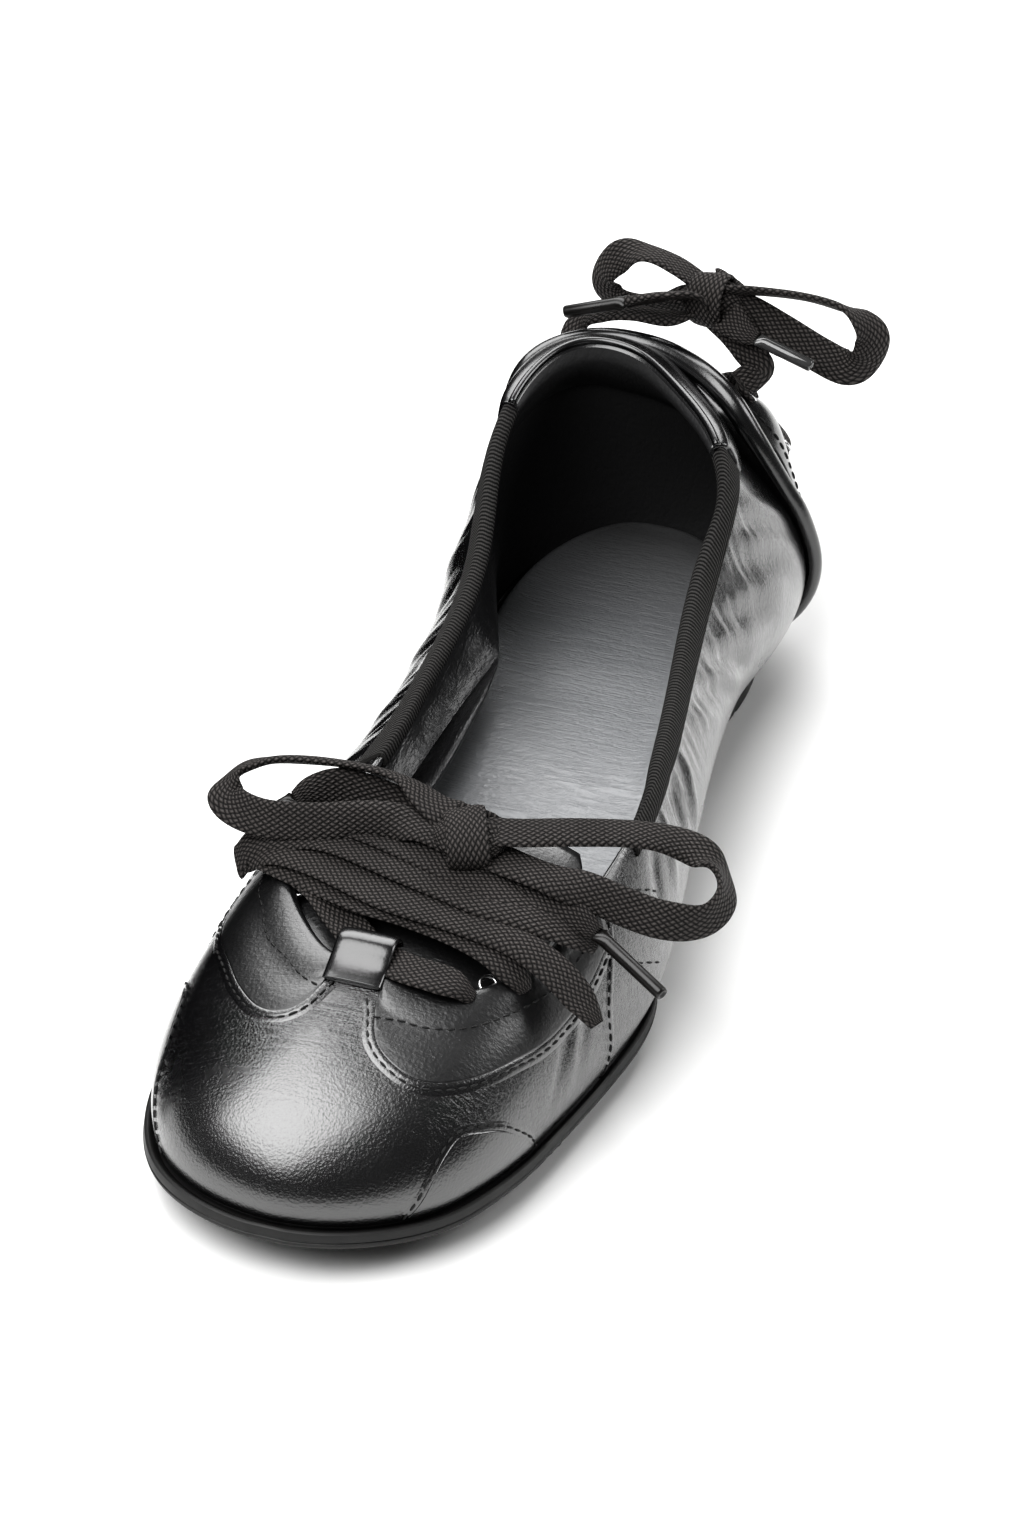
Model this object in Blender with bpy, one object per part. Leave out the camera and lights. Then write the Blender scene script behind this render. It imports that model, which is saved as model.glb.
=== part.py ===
"""Black leather lace-up ballet sneaker, the wearer's left shoe, standing empty on its sole.

+X runs from heel to toe, +Y is the outer (lateral) side of the foot, +Z is up, in metres.
The upper, the sole and every overlay come from one table of stations round the last.
"""

import math
from collections import namedtuple

import bmesh
import bpy
import numpy as np

for thing in list(bpy.data.objects):
    bpy.data.objects.remove(thing, do_unlink=True)

MM = 0.001

# Driving dimensions
LENGTH = 236.0 * MM  # feather line, heel to toe
BALL_WIDTH = 85.0 * MM  # feather line, across the ball
INSTEP_HEIGHT = 46.0 * MM  # topline beside the instep
HEEL_HEIGHT = 64.5 * MM  # topline at the back of the heel
HEEL_X = -115.43 * MM  # back of the feather line
MIDDLE_Y = 1.0 * MM  # the last's middle line; both put the origin under the middle of the shoe
ROUTE_HEEL_X = -116.5 * MM  # HEEL_X in the lace routes' own zero
WALL = 2.0 * MM  # leather and lining of the upper
GAP = 0.3 * MM  # air between pieces that touch
OVERLAY_GAP = 0.45 * MM  # air under an overlay on the curved upper
LIP_DEPTH = 4.6 * MM  # thickness of the sole's lip layer
LIP_GROOVE = 0.2 * MM  # least height between the lip layer and the pod under it
LIP_FULL = 3.0 * MM  # lip width from which its upper edge has a full bead
INSOLE_THICKNESS = 3.0 * MM
TONGUE_THICKNESS = 2.2 * MM
PUFF_LOW = 0.75  # below 1 the wall is fullest below half its height

# Stations round the last, from the heel's back along the outer side to the toe and home along the inner side.
# foot and top: percent of LENGTH from the heel, percent of BALL_WIDTH from the middle line.
# climb: topline height, 0 at INSTEP_HEIGHT and 1 at HEEL_HEIGHT.
# fullness: 1 is a straight wall, 2 a round one.  slope: rise of the wall where it meets the throat.
# bulge and lip: millimetres outwards, of wall and of sole.
Station = namedtuple("Station", "name foot_x foot_y top_x top_y climb fullness slope bulge lip")
LAST = [
    Station("heel", 0.0, -3.5, 0.4, -8.6, 1.00, 1.2, 2.0, 4.5, 1.6),
    Station("heel_outer", 5.3, 28.5, 5.1, 11.2, 0.98, 2.2, 0.5, 10.5, 1.6),
    Station("notch_outer", 12.9, 35.0, 11.7, 24.7, 0.86, 1.6, 1.0, 9.5, 1.2),
    Station("quarter_outer", 26.1, 30.6, 23.1, 29.4, 0.27, 1.0, 0.0, 10.0, -2.0),
    Station("waist_outer", 40.9, 34.1, 38.8, 36.0, 0.02, 1.0, 0.0, 9.0, -3.5),
    Station("shank_outer", 54.4, 44.1, 50.2, 41.0, 0.00, 1.1, 0.0, 6.5, -1.0),
    Station("corner_outer", 63.3, 49.2, 57.8, 41.6, -0.08, 1.4, 0.3, 4.5, 2.2),
    Station("ball_outer", 72.7, 46.7, 69.3, 37.4, -0.26, 1.9, 0.5, 3.0, 2.4),
    Station("vamp_outer", 83.3, 40.0, 77.1, 30.9, -0.33, 2.2, 0.5, 2.0, 2.8),
    Station("toe_outer", 94.7, 25.3, 82.0, 17.1, -0.32, 2.3, 0.3, 1.0, 4.2),
    Station("toe", 100.0, -4.7, 82.0, -5.3, -0.22, 2.3, 0.2, 1.0, 5.8),
    Station("toe_inner", 96.4, -37.1, 79.9, -18.2, -0.25, 2.3, 0.2, 1.0, 5.0),
    Station("vamp_inner", 86.7, -50.0, 75.6, -28.6, -0.22, 2.2, 0.3, 2.0, 3.2),
    Station("ball_inner", 72.7, -50.4, 68.9, -31.2, -0.10, 1.9, 0.4, 3.5, 2.6),
    Station("corner_inner", 59.5, -46.5, 55.3, -25.6, -0.02, 1.5, 0.3, 5.5, 1.2),
    Station("waist_inner", 43.4, -34.1, 42.6, -25.6, 0.00, 1.1, 0.0, 8.0, -3.5),
    Station("quarter_inner", 27.3, -32.4, 26.5, -28.2, 0.19, 1.0, 0.0, 8.0, -2.0),
    Station("notch_inner", 12.9, -36.5, 11.7, -30.8, 0.85, 1.4, 1.0, 5.0, 1.2),
    Station("heel_inner", 5.3, -29.5, 3.8, -21.9, 0.98, 1.8, 1.0, 4.5, 1.6),
]

# Height of the sole's top face above the floor along the shoe: toe spring, ball, arch and heel.
SOLE_TOP = [  # (percent of LENGTH, millimetres)
    (-5, 9.6), (12, 9.6), (24, 10.8), (38, 12.8), (50, 10.6), (63, 8.0), (74, 7.7), (84, 8.4), (93, 9.6),
    (104, 11.8),
]
# Height of the tread: two flat pods on the floor, a raised waist and a raised toe.
TREAD = [  # (percent of LENGTH, millimetres)
    (-5, 1.6), (-1, 0.6), (2, 0.0), (20, 0.0), (25, 6.2), (45, 7.0), (52, 4.0), (56, 0.0), (82, 0.0),
    (85, 3.6), (93, 4.8), (104, 7.0),
]
# Edge of the sole from the top face down to the tread.  share: part of the station's lip.
# out and rise: millimetres.  level: which height the rise is measured from, the top face or the tread.
Edge = namedtuple("Edge", "share out level rise")
SOLE_EDGE = [
    Edge(0.00, -6.0, "top", 0.0),
    Edge(0.00, 0.5, "top", 0.0),
    Edge(0.40, 0.6, "top", 1.0),
    Edge(0.80, 0.3, "top", 0.7),
    Edge(1.00, 0.0, "top", -0.8),
    Edge(1.00, 0.0, "top", -2.8),
    Edge(0.80, 0.0, "top", -4.1),
    Edge(0.20, -0.6, "top", -4.6),
    Edge(0.15, -1.0, "tread", 0.9),
    Edge(0.10, -2.0, "tread", 0.0),
]

# Grooves across the tread, percent of LENGTH.
GROOVES = (5, 9, 13, 17, 60, 64.5, 69, 73.5, 78)
GROOVE_WIDTH = 2.0 * MM
GROOVE_DEPTH = 1.7 * MM

# Panels on the upper, as (u, v of the lower or upper edge) along the feather line.
EYESTAY_OUTER = [
    (0.484, 0.90), (0.480, 0.81), (0.470, 0.735), (0.455, 0.67), (0.430, 0.635), (0.408, 0.60),
    (0.385, 0.545), (0.360, 0.56), (0.335, 0.66),
]
EYESTAY_INNER = [
    (0.521, 0.92), (0.526, 0.86), (0.536, 0.805), (0.552, 0.77), (0.575, 0.745), (0.602, 0.70), (0.637, 0.57),
    (0.662, 0.50), (0.685, 0.56),
]
WING_OUTER = [
    (0.458, 0.07), (0.453, 0.13), (0.446, 0.31), (0.438, 0.40), (0.427, 0.37), (0.416, 0.30), (0.404, 0.15),
    (0.398, 0.08),
]
WING_INNER = [
    (0.562, 0.07), (0.572, 0.12), (0.583, 0.22), (0.595, 0.36), (0.608, 0.41), (0.620, 0.38), (0.633, 0.24),
    (0.642, 0.08),
]
THROAT_EDGE = 0.985  # v where the eyestays end
WING_FOOT = 0.045  # v where the wings end above the sole
PANEL_THICKNESS = 1.0 * MM
COUNTER_THICKNESS = 2.2 * MM
COUNTER_ROLL = 1.6 * MM  # how much thicker the counter is at its piped upper edge
COUNTER_REACH_TOP = 0.061  # how far round the counter reaches each way, as u
COUNTER_REACH_FOOT = 0.067
COUNTER_FOOT = 0.05  # v of its lower and upper edge
COUNTER_HEAD = 0.82

# Edge trims over the topline, as closed sections.  v: place on the upper.  out and up: millimetres out of the
# skin and up past the edge.  pad_out and pad_up: added where the trim is padded, nothing at its ends.
Trim = namedtuple("Trim", "v out up pad_out pad_up")
TAPE_SECTION = [
    Trim(0.82, 0.5, 0.0, 0, 0),
    Trim(0.82, 1.3, 0.0, 0, 0),
    Trim(1.0, 1.4, 0.0, 0, 0),
    Trim(1.0, 0.7, 1.4, 0, 0),
    Trim(1.0, -2.7, 1.4, 0, 0),
    Trim(1.0, -3.4, 0.0, 0, 0),
    Trim(0.82, -3.3, 0.0, 0, 0),
    Trim(0.82, -2.5, 0.0, 0, 0),
    Trim(1.0, -2.5, 0.5, 0, 0),
    Trim(1.0, 0.5, 0.5, 0, 0),
]
COLLAR_SECTION = [
    Trim(0.84, 0.5, 0.0, 0, 0),
    Trim(0.84, 1.3, 0.0, 0.2, 0),
    Trim(0.93, 1.4, 0.0, 1.1, 0),
    Trim(1.0, 1.4, 0.4, 1.0, 0.6),
    Trim(1.0, 0.6, 1.4, 0.0, 1.3),
    Trim(1.0, -2.6, 1.4, 0.0, 1.3),
    Trim(1.0, -3.4, 0.4, -0.9, 0.6),
    Trim(0.92, -3.4, 0.0, -1.2, 0),
    Trim(0.80, -3.3, 0.0, -0.1, 0),
    Trim(0.80, -2.5, 0.0, 0, 0),
    Trim(1.0, -2.5, 0.5, 0, 0),
    Trim(1.0, 0.5, 0.5, 0, 0),
]
TRIM_END = 0.0008  # air at each end of a trim, as u

# Eyelets: place on the upper, millimetres off it, outer and hole radius.
Eyelet = namedtuple("Eyelet", "name u v off radius hole")
FRONT_EYELET = (1.9, 2.2, 1.3)
HEEL_EYELET = (4.6, 3.0, 1.8)
EYELETS = [
    Eyelet("eyelet_front_outer_1", 0.437, 0.925, *FRONT_EYELET),
    Eyelet("eyelet_front_outer_2", 0.413, 0.925, *FRONT_EYELET),
    Eyelet("eyelet_front_outer_3", 0.385, 0.92, *FRONT_EYELET),
    Eyelet("eyelet_front_inner_1", 0.560, 0.935, *FRONT_EYELET),
    Eyelet("eyelet_front_inner_2", 0.590, 0.935, *FRONT_EYELET),
    Eyelet("eyelet_front_inner_3", 0.622, 0.93, *FRONT_EYELET),
    Eyelet("eyelet_heel_outer_1", 0.036, 0.60, *HEEL_EYELET),
    Eyelet("eyelet_heel_outer_2", 0.040, 0.42, *HEEL_EYELET),
    Eyelet("eyelet_heel_inner_1", 0.966, 0.60, *HEEL_EYELET),
    Eyelet("eyelet_heel_inner_2", 0.962, 0.42, *HEEL_EYELET),
]

# Flat lace.  A route is in millimetres along, across and above the last's own zero; turn is 0 where the lace
# lies on its face and 1 where it stands on its edge round a loop.
LACE_WIDTH = 8.0 * MM
LACE_THICKNESS = 1.3 * MM
LACE_STEPS = 2  # sections between two points of a route
FRONT_BARS = [
    [(58, -20.5, 43.6, 0), (63, -12.5, 42.3, 0), (67.5, -4.5, 41.5, 0), (70.5, 5, 41.6, 0),
     (72.5, 13, 42.4, 0)],
    [(60, -16, 43.4, 0), (61.5, -4.6, 46.2, 0), (61.6, 4.4, 46.2, 0), (63, 13.4, 45.2, 0), (64, 20, 43.8, 0)],
    [(51, -38, 42, 0), (52.3, -31, 45.5, 0), (54.2, -22.6, 46.8, 0), (60.5, -4.5, 47.0, 0),
     (62, 10.5, 46.8, 0), (63.1, 25.6, 45, 0), (65.5, 34, 41, 0), (66, 40.5, 35, 0)],
    [(50.5, -38.5, 42.4, 0), (50, -30.8, 46.4, 0), (49.5, -20.9, 48.6, 0), (54.3, -3.1, 48.6, 0),
     (57.6, 16, 48, 0), (56, 31, 45.4, 0)],
]
HEEL_BARS = [  # u, v across the counter
    [(0.029, 0.60), (0.012, 0.56), (-0.012, 0.46), (-0.029, 0.42)],
    [(-0.027, 0.60), (-0.012, 0.56), (0.012, 0.46), (0.031, 0.42)],
]
HEEL_BAR_OFF = 5.4 * MM
KEEPER_U = 0.501
KEEPER_V = (0.92, 0.985)  # where the keeper lies on the vamp
KEEPER_ROUTE = [(75, -4.4, 43.4), (70.5, -4.5, 44.3), (66.5, -4.6, 43.9)]  # on over the lowest bar
KEEPER_WIDTH = 10.5 * MM
KEEPER_THICKNESS = 1.1 * MM
Cord = namedtuple("Cord", "name face route")
CORDS = [
    Cord("lace_front_loop_inner", (0.3, 0.1, 0.95), [
        (39, -2, 55, 0), (33.6, -9, 55.5, 0), (32.5, -23.2, 55, 0.2), (33.8, -38.1, 54, 0.6),
        (39, -45, 52, 1), (46, -43.8, 50.5, 0.7), (49.5, -34.9, 51, 0.2), (48.4, -24.4, 52.2, 0),
        (45, -12, 53.5, 0), (43.5, -2.5, 53.8, 0)]),
    Cord("lace_front_loop_outer", (0.3, 0.1, 0.95), [
        (42.5, 17.5, 55.5, 0), (38, 29, 55, 0), (32.5, 44.7, 54, 0.4), (34.6, 56, 51.5, 1),
        (42.5, 60.5, 50, 1), (49.5, 58.0, 48.5, 0.8), (51.5, 50, 48.8, 0.3), (49.5, 35.7, 50.2, 0),
        (48.6, 26, 51.2, 0), (48, 18, 52, 0)]),
    Cord("lace_front_end_outer", (0.3, 0.1, 0.95), [
        (55, 37.2, 46.2, 0), (57, 42, 45, 0), (59.3, 46, 44, 0)]),
    Cord("lace_front_end_inner", (0.3, 0.1, 0.95), [
        (38, -4, 50.2, 0), (36, -13, 50.4, 0), (37, -21, 50.2, 0)]),
    Cord("lace_heel_loop_inner", (0.75, 0.2, 0.6), [
        (-131.5, -2.2, 76.6, 0.2), (-132.5, -7, 79.6, 0.5), (-133, -13.6, 80.2, 0.6), (-133, -20, 76.8, 0.6),
        (-132.6, -22.8, 71.4, 0.6), (-132.2, -19.8, 67.2, 0.6), (-132, -12.4, 68, 0.4),
        (-131.5, -2.4, 71.2, 0.1)]),
    Cord("lace_heel_loop_outer", (0.6, 0.2, 0.75), [
        (-129, 14, 75.8, 0.3), (-128.5, 30, 78.6, 0.3), (-128, 41, 76.5, 0.6), (-127.6, 44.6, 72, 1),
        (-127, 42.8, 66.8, 0.8), (-126.5, 36.6, 62.6, 0.5), (-126.8, 28, 65.4, 0.2), (-127.5, 14, 71, 0.2)]),
    Cord("lace_heel_end_inner", (0.6, 0.2, 0.75), [
        (-122, -1, 77, 0), (-121.5, -6, 74.6, 0), (-121, -11, 72.2, 0)]),
    Cord("lace_heel_end_outer", (0.6, 0.2, 0.75), [
        (-120.5, 13.4, 70.4, 0), (-119.4, 17, 70, 0), (-118.6, 21, 69.2, 0)]),
    Cord("lace_heel_strand_inner", (0.3, 0.0, 0.95), [
        (-123.4, -2.4, 67.6, 0), (-123.4, -8, 67.8, 0), (-123.6, -18, 65.4, 0), (-124.2, -27, 58.8, 0)]),
    Cord("lace_heel_strand_outer", (0.3, 0.3, 0.9), [
        (-127.2, 12, 64.6, 0), (-126, 17.5, 61, 0), (-124.8, 21.5, 56, 0)]),
]
# Aglets: from where the lace ends, millimetres.
Aglet = namedtuple("Aglet", "name start end")
AGLETS = [
    Aglet("aglet_front_outer", (59.8, 46.9, 43.8), (65.5, 56, 41.5)),
    Aglet("aglet_front_inner", (37.3, -22, 50.1), (41, -34, 49)),
    Aglet("aglet_heel_inner", (-120.9, -11.9, 71.7), (-119.6, -24, 66)),
    Aglet("aglet_heel_outer", (-118.4, 22, 69), (-117.2, 33.6, 66.4)),
]
AGLET_RADIUS = 1.5 * MM
# Knots: middle and half sizes, millimetres.
Knot = namedtuple("Knot", "name middle half")
KNOTS_TIED = [
    Knot("lace_front_knot", (45, 8, 54.5), (7.5, 8.5, 4.5)),
    Knot("lace_heel_knot", (-129, 5.8, 72), (5.0, 6.8, 6.2)),
]

AROUND = 38  # steps along each side of the last
UP = 11  # steps from feather line to topline


def closed_spline(knots, values, period):
    """A function reading a smooth closed curve through rows of values at the given knots."""
    count = len(knots)
    gaps = np.diff(np.append(knots, knots[0] + period))
    rises = (np.roll(values, -1, axis=0) - values) / gaps[:, None]
    system = np.zeros((count, count))
    for i in range(count):
        before = gaps[i - 1]
        after = gaps[i]
        system[i, i - 1] += before
        system[i, i] += 2 * (before + after)
        system[i, (i + 1) % count] += after
    bends = np.linalg.solve(system, 6 * (rises - np.roll(rises, 1, axis=0)))

    def read(at):
        at = np.asarray(at, float) % period
        i = np.clip(np.searchsorted(knots, at, side="right") - 1, 0, count - 1)
        j = (i + 1) % count
        gap = gaps[i][..., None]
        b = ((at - knots[i])[..., None]) / gap
        a = 1 - b
        return (
            a * values[i]
            + b * values[j]
            + ((a**3 - a) * bends[i] + (b**3 - b) * bends[j]) * gap**2 / 6
        )

    return read


def station_values():
    """Each station in metres: foot x and y, top x, y and z, fullness, slope, bulge and lip."""
    rows = []
    for s in LAST:
        rows.append(
            (
                HEEL_X + LENGTH * s.foot_x / 100,
                MIDDLE_Y + BALL_WIDTH * s.foot_y / 100,
                HEEL_X + LENGTH * s.top_x / 100,
                MIDDLE_Y + BALL_WIDTH * s.top_y / 100,
                INSTEP_HEIGHT + (HEEL_HEIGHT - INSTEP_HEIGHT) * s.climb,
                s.fullness,
                s.slope,
                s.bulge * MM,
                s.lip * MM,
            )
        )
    return np.array(rows)


VALUES = station_values()
STEPS = np.linalg.norm(np.roll(VALUES[:, :2], -1, axis=0) - VALUES[:, :2], axis=1)
KNOTS = np.concatenate(([0.0], np.cumsum(STEPS)[:-1])) / STEPS.sum()
AT = {s.name: knot for s, knot in zip(LAST, KNOTS)}
last = closed_spline(KNOTS, VALUES, 1.0)


def height_along(table, x):
    """Height at x from a table of (percent of LENGTH, millimetres), eased between its rows."""
    table = np.array(table)
    at = (np.asarray(x) - HEEL_X) / LENGTH * 100
    i = np.clip(np.searchsorted(table[:, 0], at) - 1, 0, len(table) - 2)
    t = np.clip((at - table[i, 0]) / (table[i + 1, 0] - table[i, 0]), 0, 1)
    ease = t * t * (3 - 2 * t)
    return MM * (table[i, 1] * (1 - ease) + table[i + 1, 1] * ease)


def outward(u):
    """Unit vectors square to the feather line, level and pointing out of the shoe."""
    h = 1e-4
    along = last(u + h)[..., :2] - last(u - h)[..., :2]
    along /= np.linalg.norm(along, axis=-1, keepdims=True)
    return np.stack((-along[..., 1], along[..., 0]), axis=-1)


def skin(u, v):
    """Outer skin of the upper: u runs round the feather line, v from 0 at the sole to 1 at the topline."""
    u, v = np.broadcast_arrays(np.asarray(u, float), np.asarray(v, float))
    row = last(u)
    angle = v * math.pi / 2
    power = 2 / row[..., 5]
    across = 1 - np.cos(angle) ** power
    up = np.sin(angle) ** power
    foot = row[..., 0:2]
    top = row[..., 2:4]
    foot_z = height_along(SOLE_TOP, foot[..., 0]) + GAP
    lean = row[..., 6] * np.linalg.norm(top - foot, axis=-1)
    puff = (row[..., 7] * np.sin(math.pi * up**PUFF_LOW))[..., None]
    plan = foot + (top - foot) * across[..., None] + outward(u) * puff
    z = foot_z + (row[..., 4] - foot_z - lean) * up + lean * across
    return np.concatenate((plan, z[..., None]), axis=-1)


def skin_frame(u, v):
    """Points of the skin with the unit vectors out of it and up along it."""
    u, v = np.broadcast_arrays(np.asarray(u, float), np.asarray(v, float))
    h = 2e-3
    up = skin(u, np.minimum(v + h, 1.0)) - skin(u, np.maximum(v - h, 0.0))
    along = skin(u + h, v) - skin(u - h, v)
    out = np.cross(up, along)
    out /= np.linalg.norm(out, axis=-1, keepdims=True)
    up /= np.linalg.norm(up, axis=-1, keepdims=True)
    return skin(u, v), out, up


def off_skin(u, v, out, up=0.0):
    """Points of the skin moved out of it and up along it."""
    point, normal, along = skin_frame(u, v)
    return point + normal * np.asarray(out)[..., None] + along * np.asarray(up)[..., None]


def material(name, colour, roughness, metallic=0.0):
    """A Principled BSDF material."""
    made = bpy.data.materials.new(name)
    made.use_nodes = True
    shader = made.node_tree.nodes["Principled BSDF"]
    shader.inputs["Base Color"].default_value = (*colour, 1.0)
    shader.inputs["Roughness"].default_value = roughness
    shader.inputs["Metallic"].default_value = metallic
    return made


shoe = bpy.data.objects.new("shoe", None)
bpy.context.collection.objects.link(shoe)


def solid(name, points, faces, look):
    """A named closed mesh object with its faces pointing out."""
    mesh = bpy.data.meshes.new(name)
    mesh.from_pydata([tuple(p) for p in points], [], faces)
    shape = bmesh.new()
    shape.from_mesh(mesh)
    bmesh.ops.triangulate(shape, faces=shape.faces)
    bmesh.ops.recalc_face_normals(shape, faces=shape.faces)
    shape.to_mesh(mesh)
    shape.free()
    mesh.shade_smooth()
    mesh.set_sharp_from_angle(angle=math.radians(40))
    mesh.materials.append(look)
    made = bpy.data.objects.new(name, mesh)
    made.parent = shoe
    bpy.context.collection.objects.link(made)
    return made


def grid_faces(rows, columns, start=0, wrap_rows=False, wrap_columns=False):
    """Quads of a grid of points stored row by row."""
    faces = []
    for i in range(rows if wrap_rows else rows - 1):
        for j in range(columns if wrap_columns else columns - 1):
            k = (i + 1) % rows
            m = (j + 1) % columns
            corners = (i * columns + j, k * columns + j, k * columns + m, i * columns + m)
            faces.append(tuple(start + n for n in corners))
    return faces


def ladder_faces(count, start):
    """Quads across a closed ring of an even count of points that begins at one end of a long outline."""
    half = count // 2
    faces = [(start, start + 1, start + count - 1)]
    for i in range(1, half - 1):
        faces.append(tuple(start + n for n in (i, i + 1, count - i - 1, count - i)))
    faces.append((start + half - 1, start + half, start + half + 1))
    return faces


def around_stations():
    """Values of u with as many steps on the outer side, heel to toe, as on the inner side."""
    outer = np.linspace(0.0, AT["toe"], AROUND, endpoint=False)
    inner = np.linspace(AT["toe"], 1.0, AROUND, endpoint=False)
    return np.concatenate((outer, inner))


AROUND_U = around_stations()


def rings_solid(name, rings, look):
    """A closed solid from stacked closed rings, its first and last ring filled across."""
    count = len(rings[0])
    faces = grid_faces(len(rings), count, wrap_columns=True)
    faces += ladder_faces(count, 0)
    faces += ladder_faces(count, (len(rings) - 1) * count)
    return solid(name, np.concatenate(rings), faces, look)


def make_upper(look):
    """The hollow leather wall: outer and inner skin joined along the feather line and the topline."""
    u = AROUND_U[:, None]
    v = np.linspace(0, 1, UP + 1)[None, :]
    outer = skin(u, v)
    inner = off_skin(u, v, -WALL)
    section = np.concatenate((outer, inner[:, ::-1]), axis=1)
    rows, columns = section.shape[:2]
    faces = grid_faces(rows, columns, wrap_rows=True, wrap_columns=True)
    return solid("upper", section.reshape(-1, 3), faces, look)


def outline(out):
    """The feather line moved outwards, level."""
    row = last(AROUND_U)
    return row[:, :2] + outward(AROUND_U) * np.asarray(out)[:, None]


def make_sole(look):
    """One rubber unit: top face, rounded lip, set-in pods and raised waist, cut across by tread grooves."""
    lip = last(AROUND_U)[:, 8]
    rings = []
    for edge in SOLE_EDGE:
        plan = outline(lip * edge.share + edge.out * MM)
        bead = np.clip(lip / LIP_FULL, 0, 1) if edge.rise > 0 else 1.0
        floor = height_along(TREAD, plan[:, 0])
        top = height_along(SOLE_TOP, plan[:, 0])
        rise = edge.rise * MM
        level = top if edge.level == "top" else np.minimum(floor, top - LIP_DEPTH - LIP_GROOVE - rise)
        rings.append(np.column_stack((plan, level + rise * bead)))
    return rings_solid("sole", rings, look)


def make_insole(look):
    """The sock: it lies on the sole inside the upper."""
    inset = WALL + 3 * GAP
    chamfer = INSOLE_THICKNESS / 2
    rings = []
    levels = ((chamfer, GAP), (0, 3 * GAP), (0, INSOLE_THICKNESS - GAP), (chamfer, INSOLE_THICKNESS))
    for more, rise in levels:
        plan = outline(np.full(len(AROUND_U), -inset - more))
        rings.append(np.column_stack((plan, height_along(SOLE_TOP, plan[:, 0]) + rise)))
    return rings_solid("insole", rings, look)


def make_tongue(look):
    """The padded leaf: it spans the throat just under the upper's edges and rises in the middle."""
    steps = 12
    across = 10
    tuck = 0.93  # how far under the throat's edge, as v
    clear = 0.8 * MM
    crown = 6.0 * MM
    w = np.linspace(0, 0.9, steps)
    outer_u = AT["corner_outer"] + (AT["toe"] - AT["corner_outer"]) * w
    inner_u = AT["corner_inner"] + (AT["toe"] - AT["corner_inner"]) * w
    outer_edge = off_skin(outer_u, tuck, -WALL - clear)
    inner_edge = off_skin(inner_u, tuck, -WALL - clear)
    top = []
    for i in range(steps):
        trim = 0.10 * max(0.0, 1 - i / 1.5) ** 2
        t = np.linspace(trim, 1 - trim, across + 1)[:, None]
        row = outer_edge[i] * (1 - t) + inner_edge[i] * t
        row[:, 2] += (4 * crown * (1 - w[i]) * t * (1 - t))[:, 0]
        top.append(row)
    top = np.array(top)
    under = top - np.array((0, 0, TONGUE_THICKNESS))
    section = np.concatenate((top, under[:, ::-1]), axis=1)
    rows, columns = section.shape[:2]
    faces = grid_faces(rows, columns, wrap_columns=True)
    for end in (0, rows - 1):
        start = end * columns
        for j in range(across):
            faces.append(tuple(start + n for n in (j, j + 1, columns - 2 - j, columns - 1 - j)))
    return solid("tongue", section.reshape(-1, 3), faces, look)


def strip_solid(name, sections, look, bridge=None):
    """A closed solid through a row of closed sections, capped at both ends."""
    sections = np.asarray(sections)
    rows, columns = sections.shape[:2]
    faces = grid_faces(rows, columns, wrap_columns=True)
    for start in (0, (rows - 1) * columns):
        if bridge is None:
            faces.append(tuple(range(start, start + columns)))
            continue
        for j in range(columns // 2 - 1):
            faces.append(tuple(start + n for n in (j, j + 1, columns - 2 - j, columns - 1 - j)))
    return solid(name, sections.reshape(-1, 3), faces, look)


def panel(name, u, v, thickness, look, gap=OVERLAY_GAP):
    """A panel on the upper: a grid of u and v between two offsets of the skin."""
    over = off_skin(u, v, gap + thickness)
    under = off_skin(u, v, np.full(u.shape, gap))
    return strip_solid(name, np.concatenate((over, under[:, ::-1]), axis=1), look, bridge=True)


def edge_panel(name, edge, other, steps, look):
    """A panel between an edge drawn as (u, v) rows and a line of constant v."""
    edge = np.array(edge)
    along = np.linspace(0, len(edge) - 1, steps + 1)
    u = np.interp(along, np.arange(len(edge)), edge[:, 0])[:, None]
    drawn = np.interp(along, np.arange(len(edge)), edge[:, 1])[:, None]
    v = drawn + (other - drawn) * np.linspace(0, 1, 4)[None, :]
    return panel(name, np.broadcast_to(u, v.shape), v, PANEL_THICKNESS, look)


def make_counter(look):
    """The raised heel panel: its front edges lean forward to the sole, its upper edge is a thicker roll."""
    rows = np.linspace(0, 1, UP + 1)
    v = rows[(rows > COUNTER_FOOT) & (rows < COUNTER_HEAD)][None, :]
    across = np.linspace(-1, 1, 19)[:, None]
    u = across * (COUNTER_REACH_TOP + (COUNTER_REACH_FOOT - COUNTER_REACH_TOP) * (1 - v) ** 1.5)
    v = np.broadcast_to(v, u.shape)
    middle = (COUNTER_FOOT + COUNTER_HEAD) / 2
    thickness = COUNTER_THICKNESS + COUNTER_ROLL * np.clip(v - middle, 0, 1) / (COUNTER_HEAD - middle)
    return panel("heel_counter", u, v, thickness, look, gap=2 * OVERLAY_GAP)


def stations_between(u_from, u_to):
    """The upper's own stations from near u_from to near u_to, so that facets lie over facets."""
    all_round = np.sort(np.concatenate((AROUND_U - 1, AROUND_U)))
    first = np.argmin(np.abs(all_round - u_from))
    final = np.argmin(np.abs(all_round - u_to))
    made = all_round[first : final + 1].copy()
    made[0] += TRIM_END
    made[-1] -= TRIM_END
    return made


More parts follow.
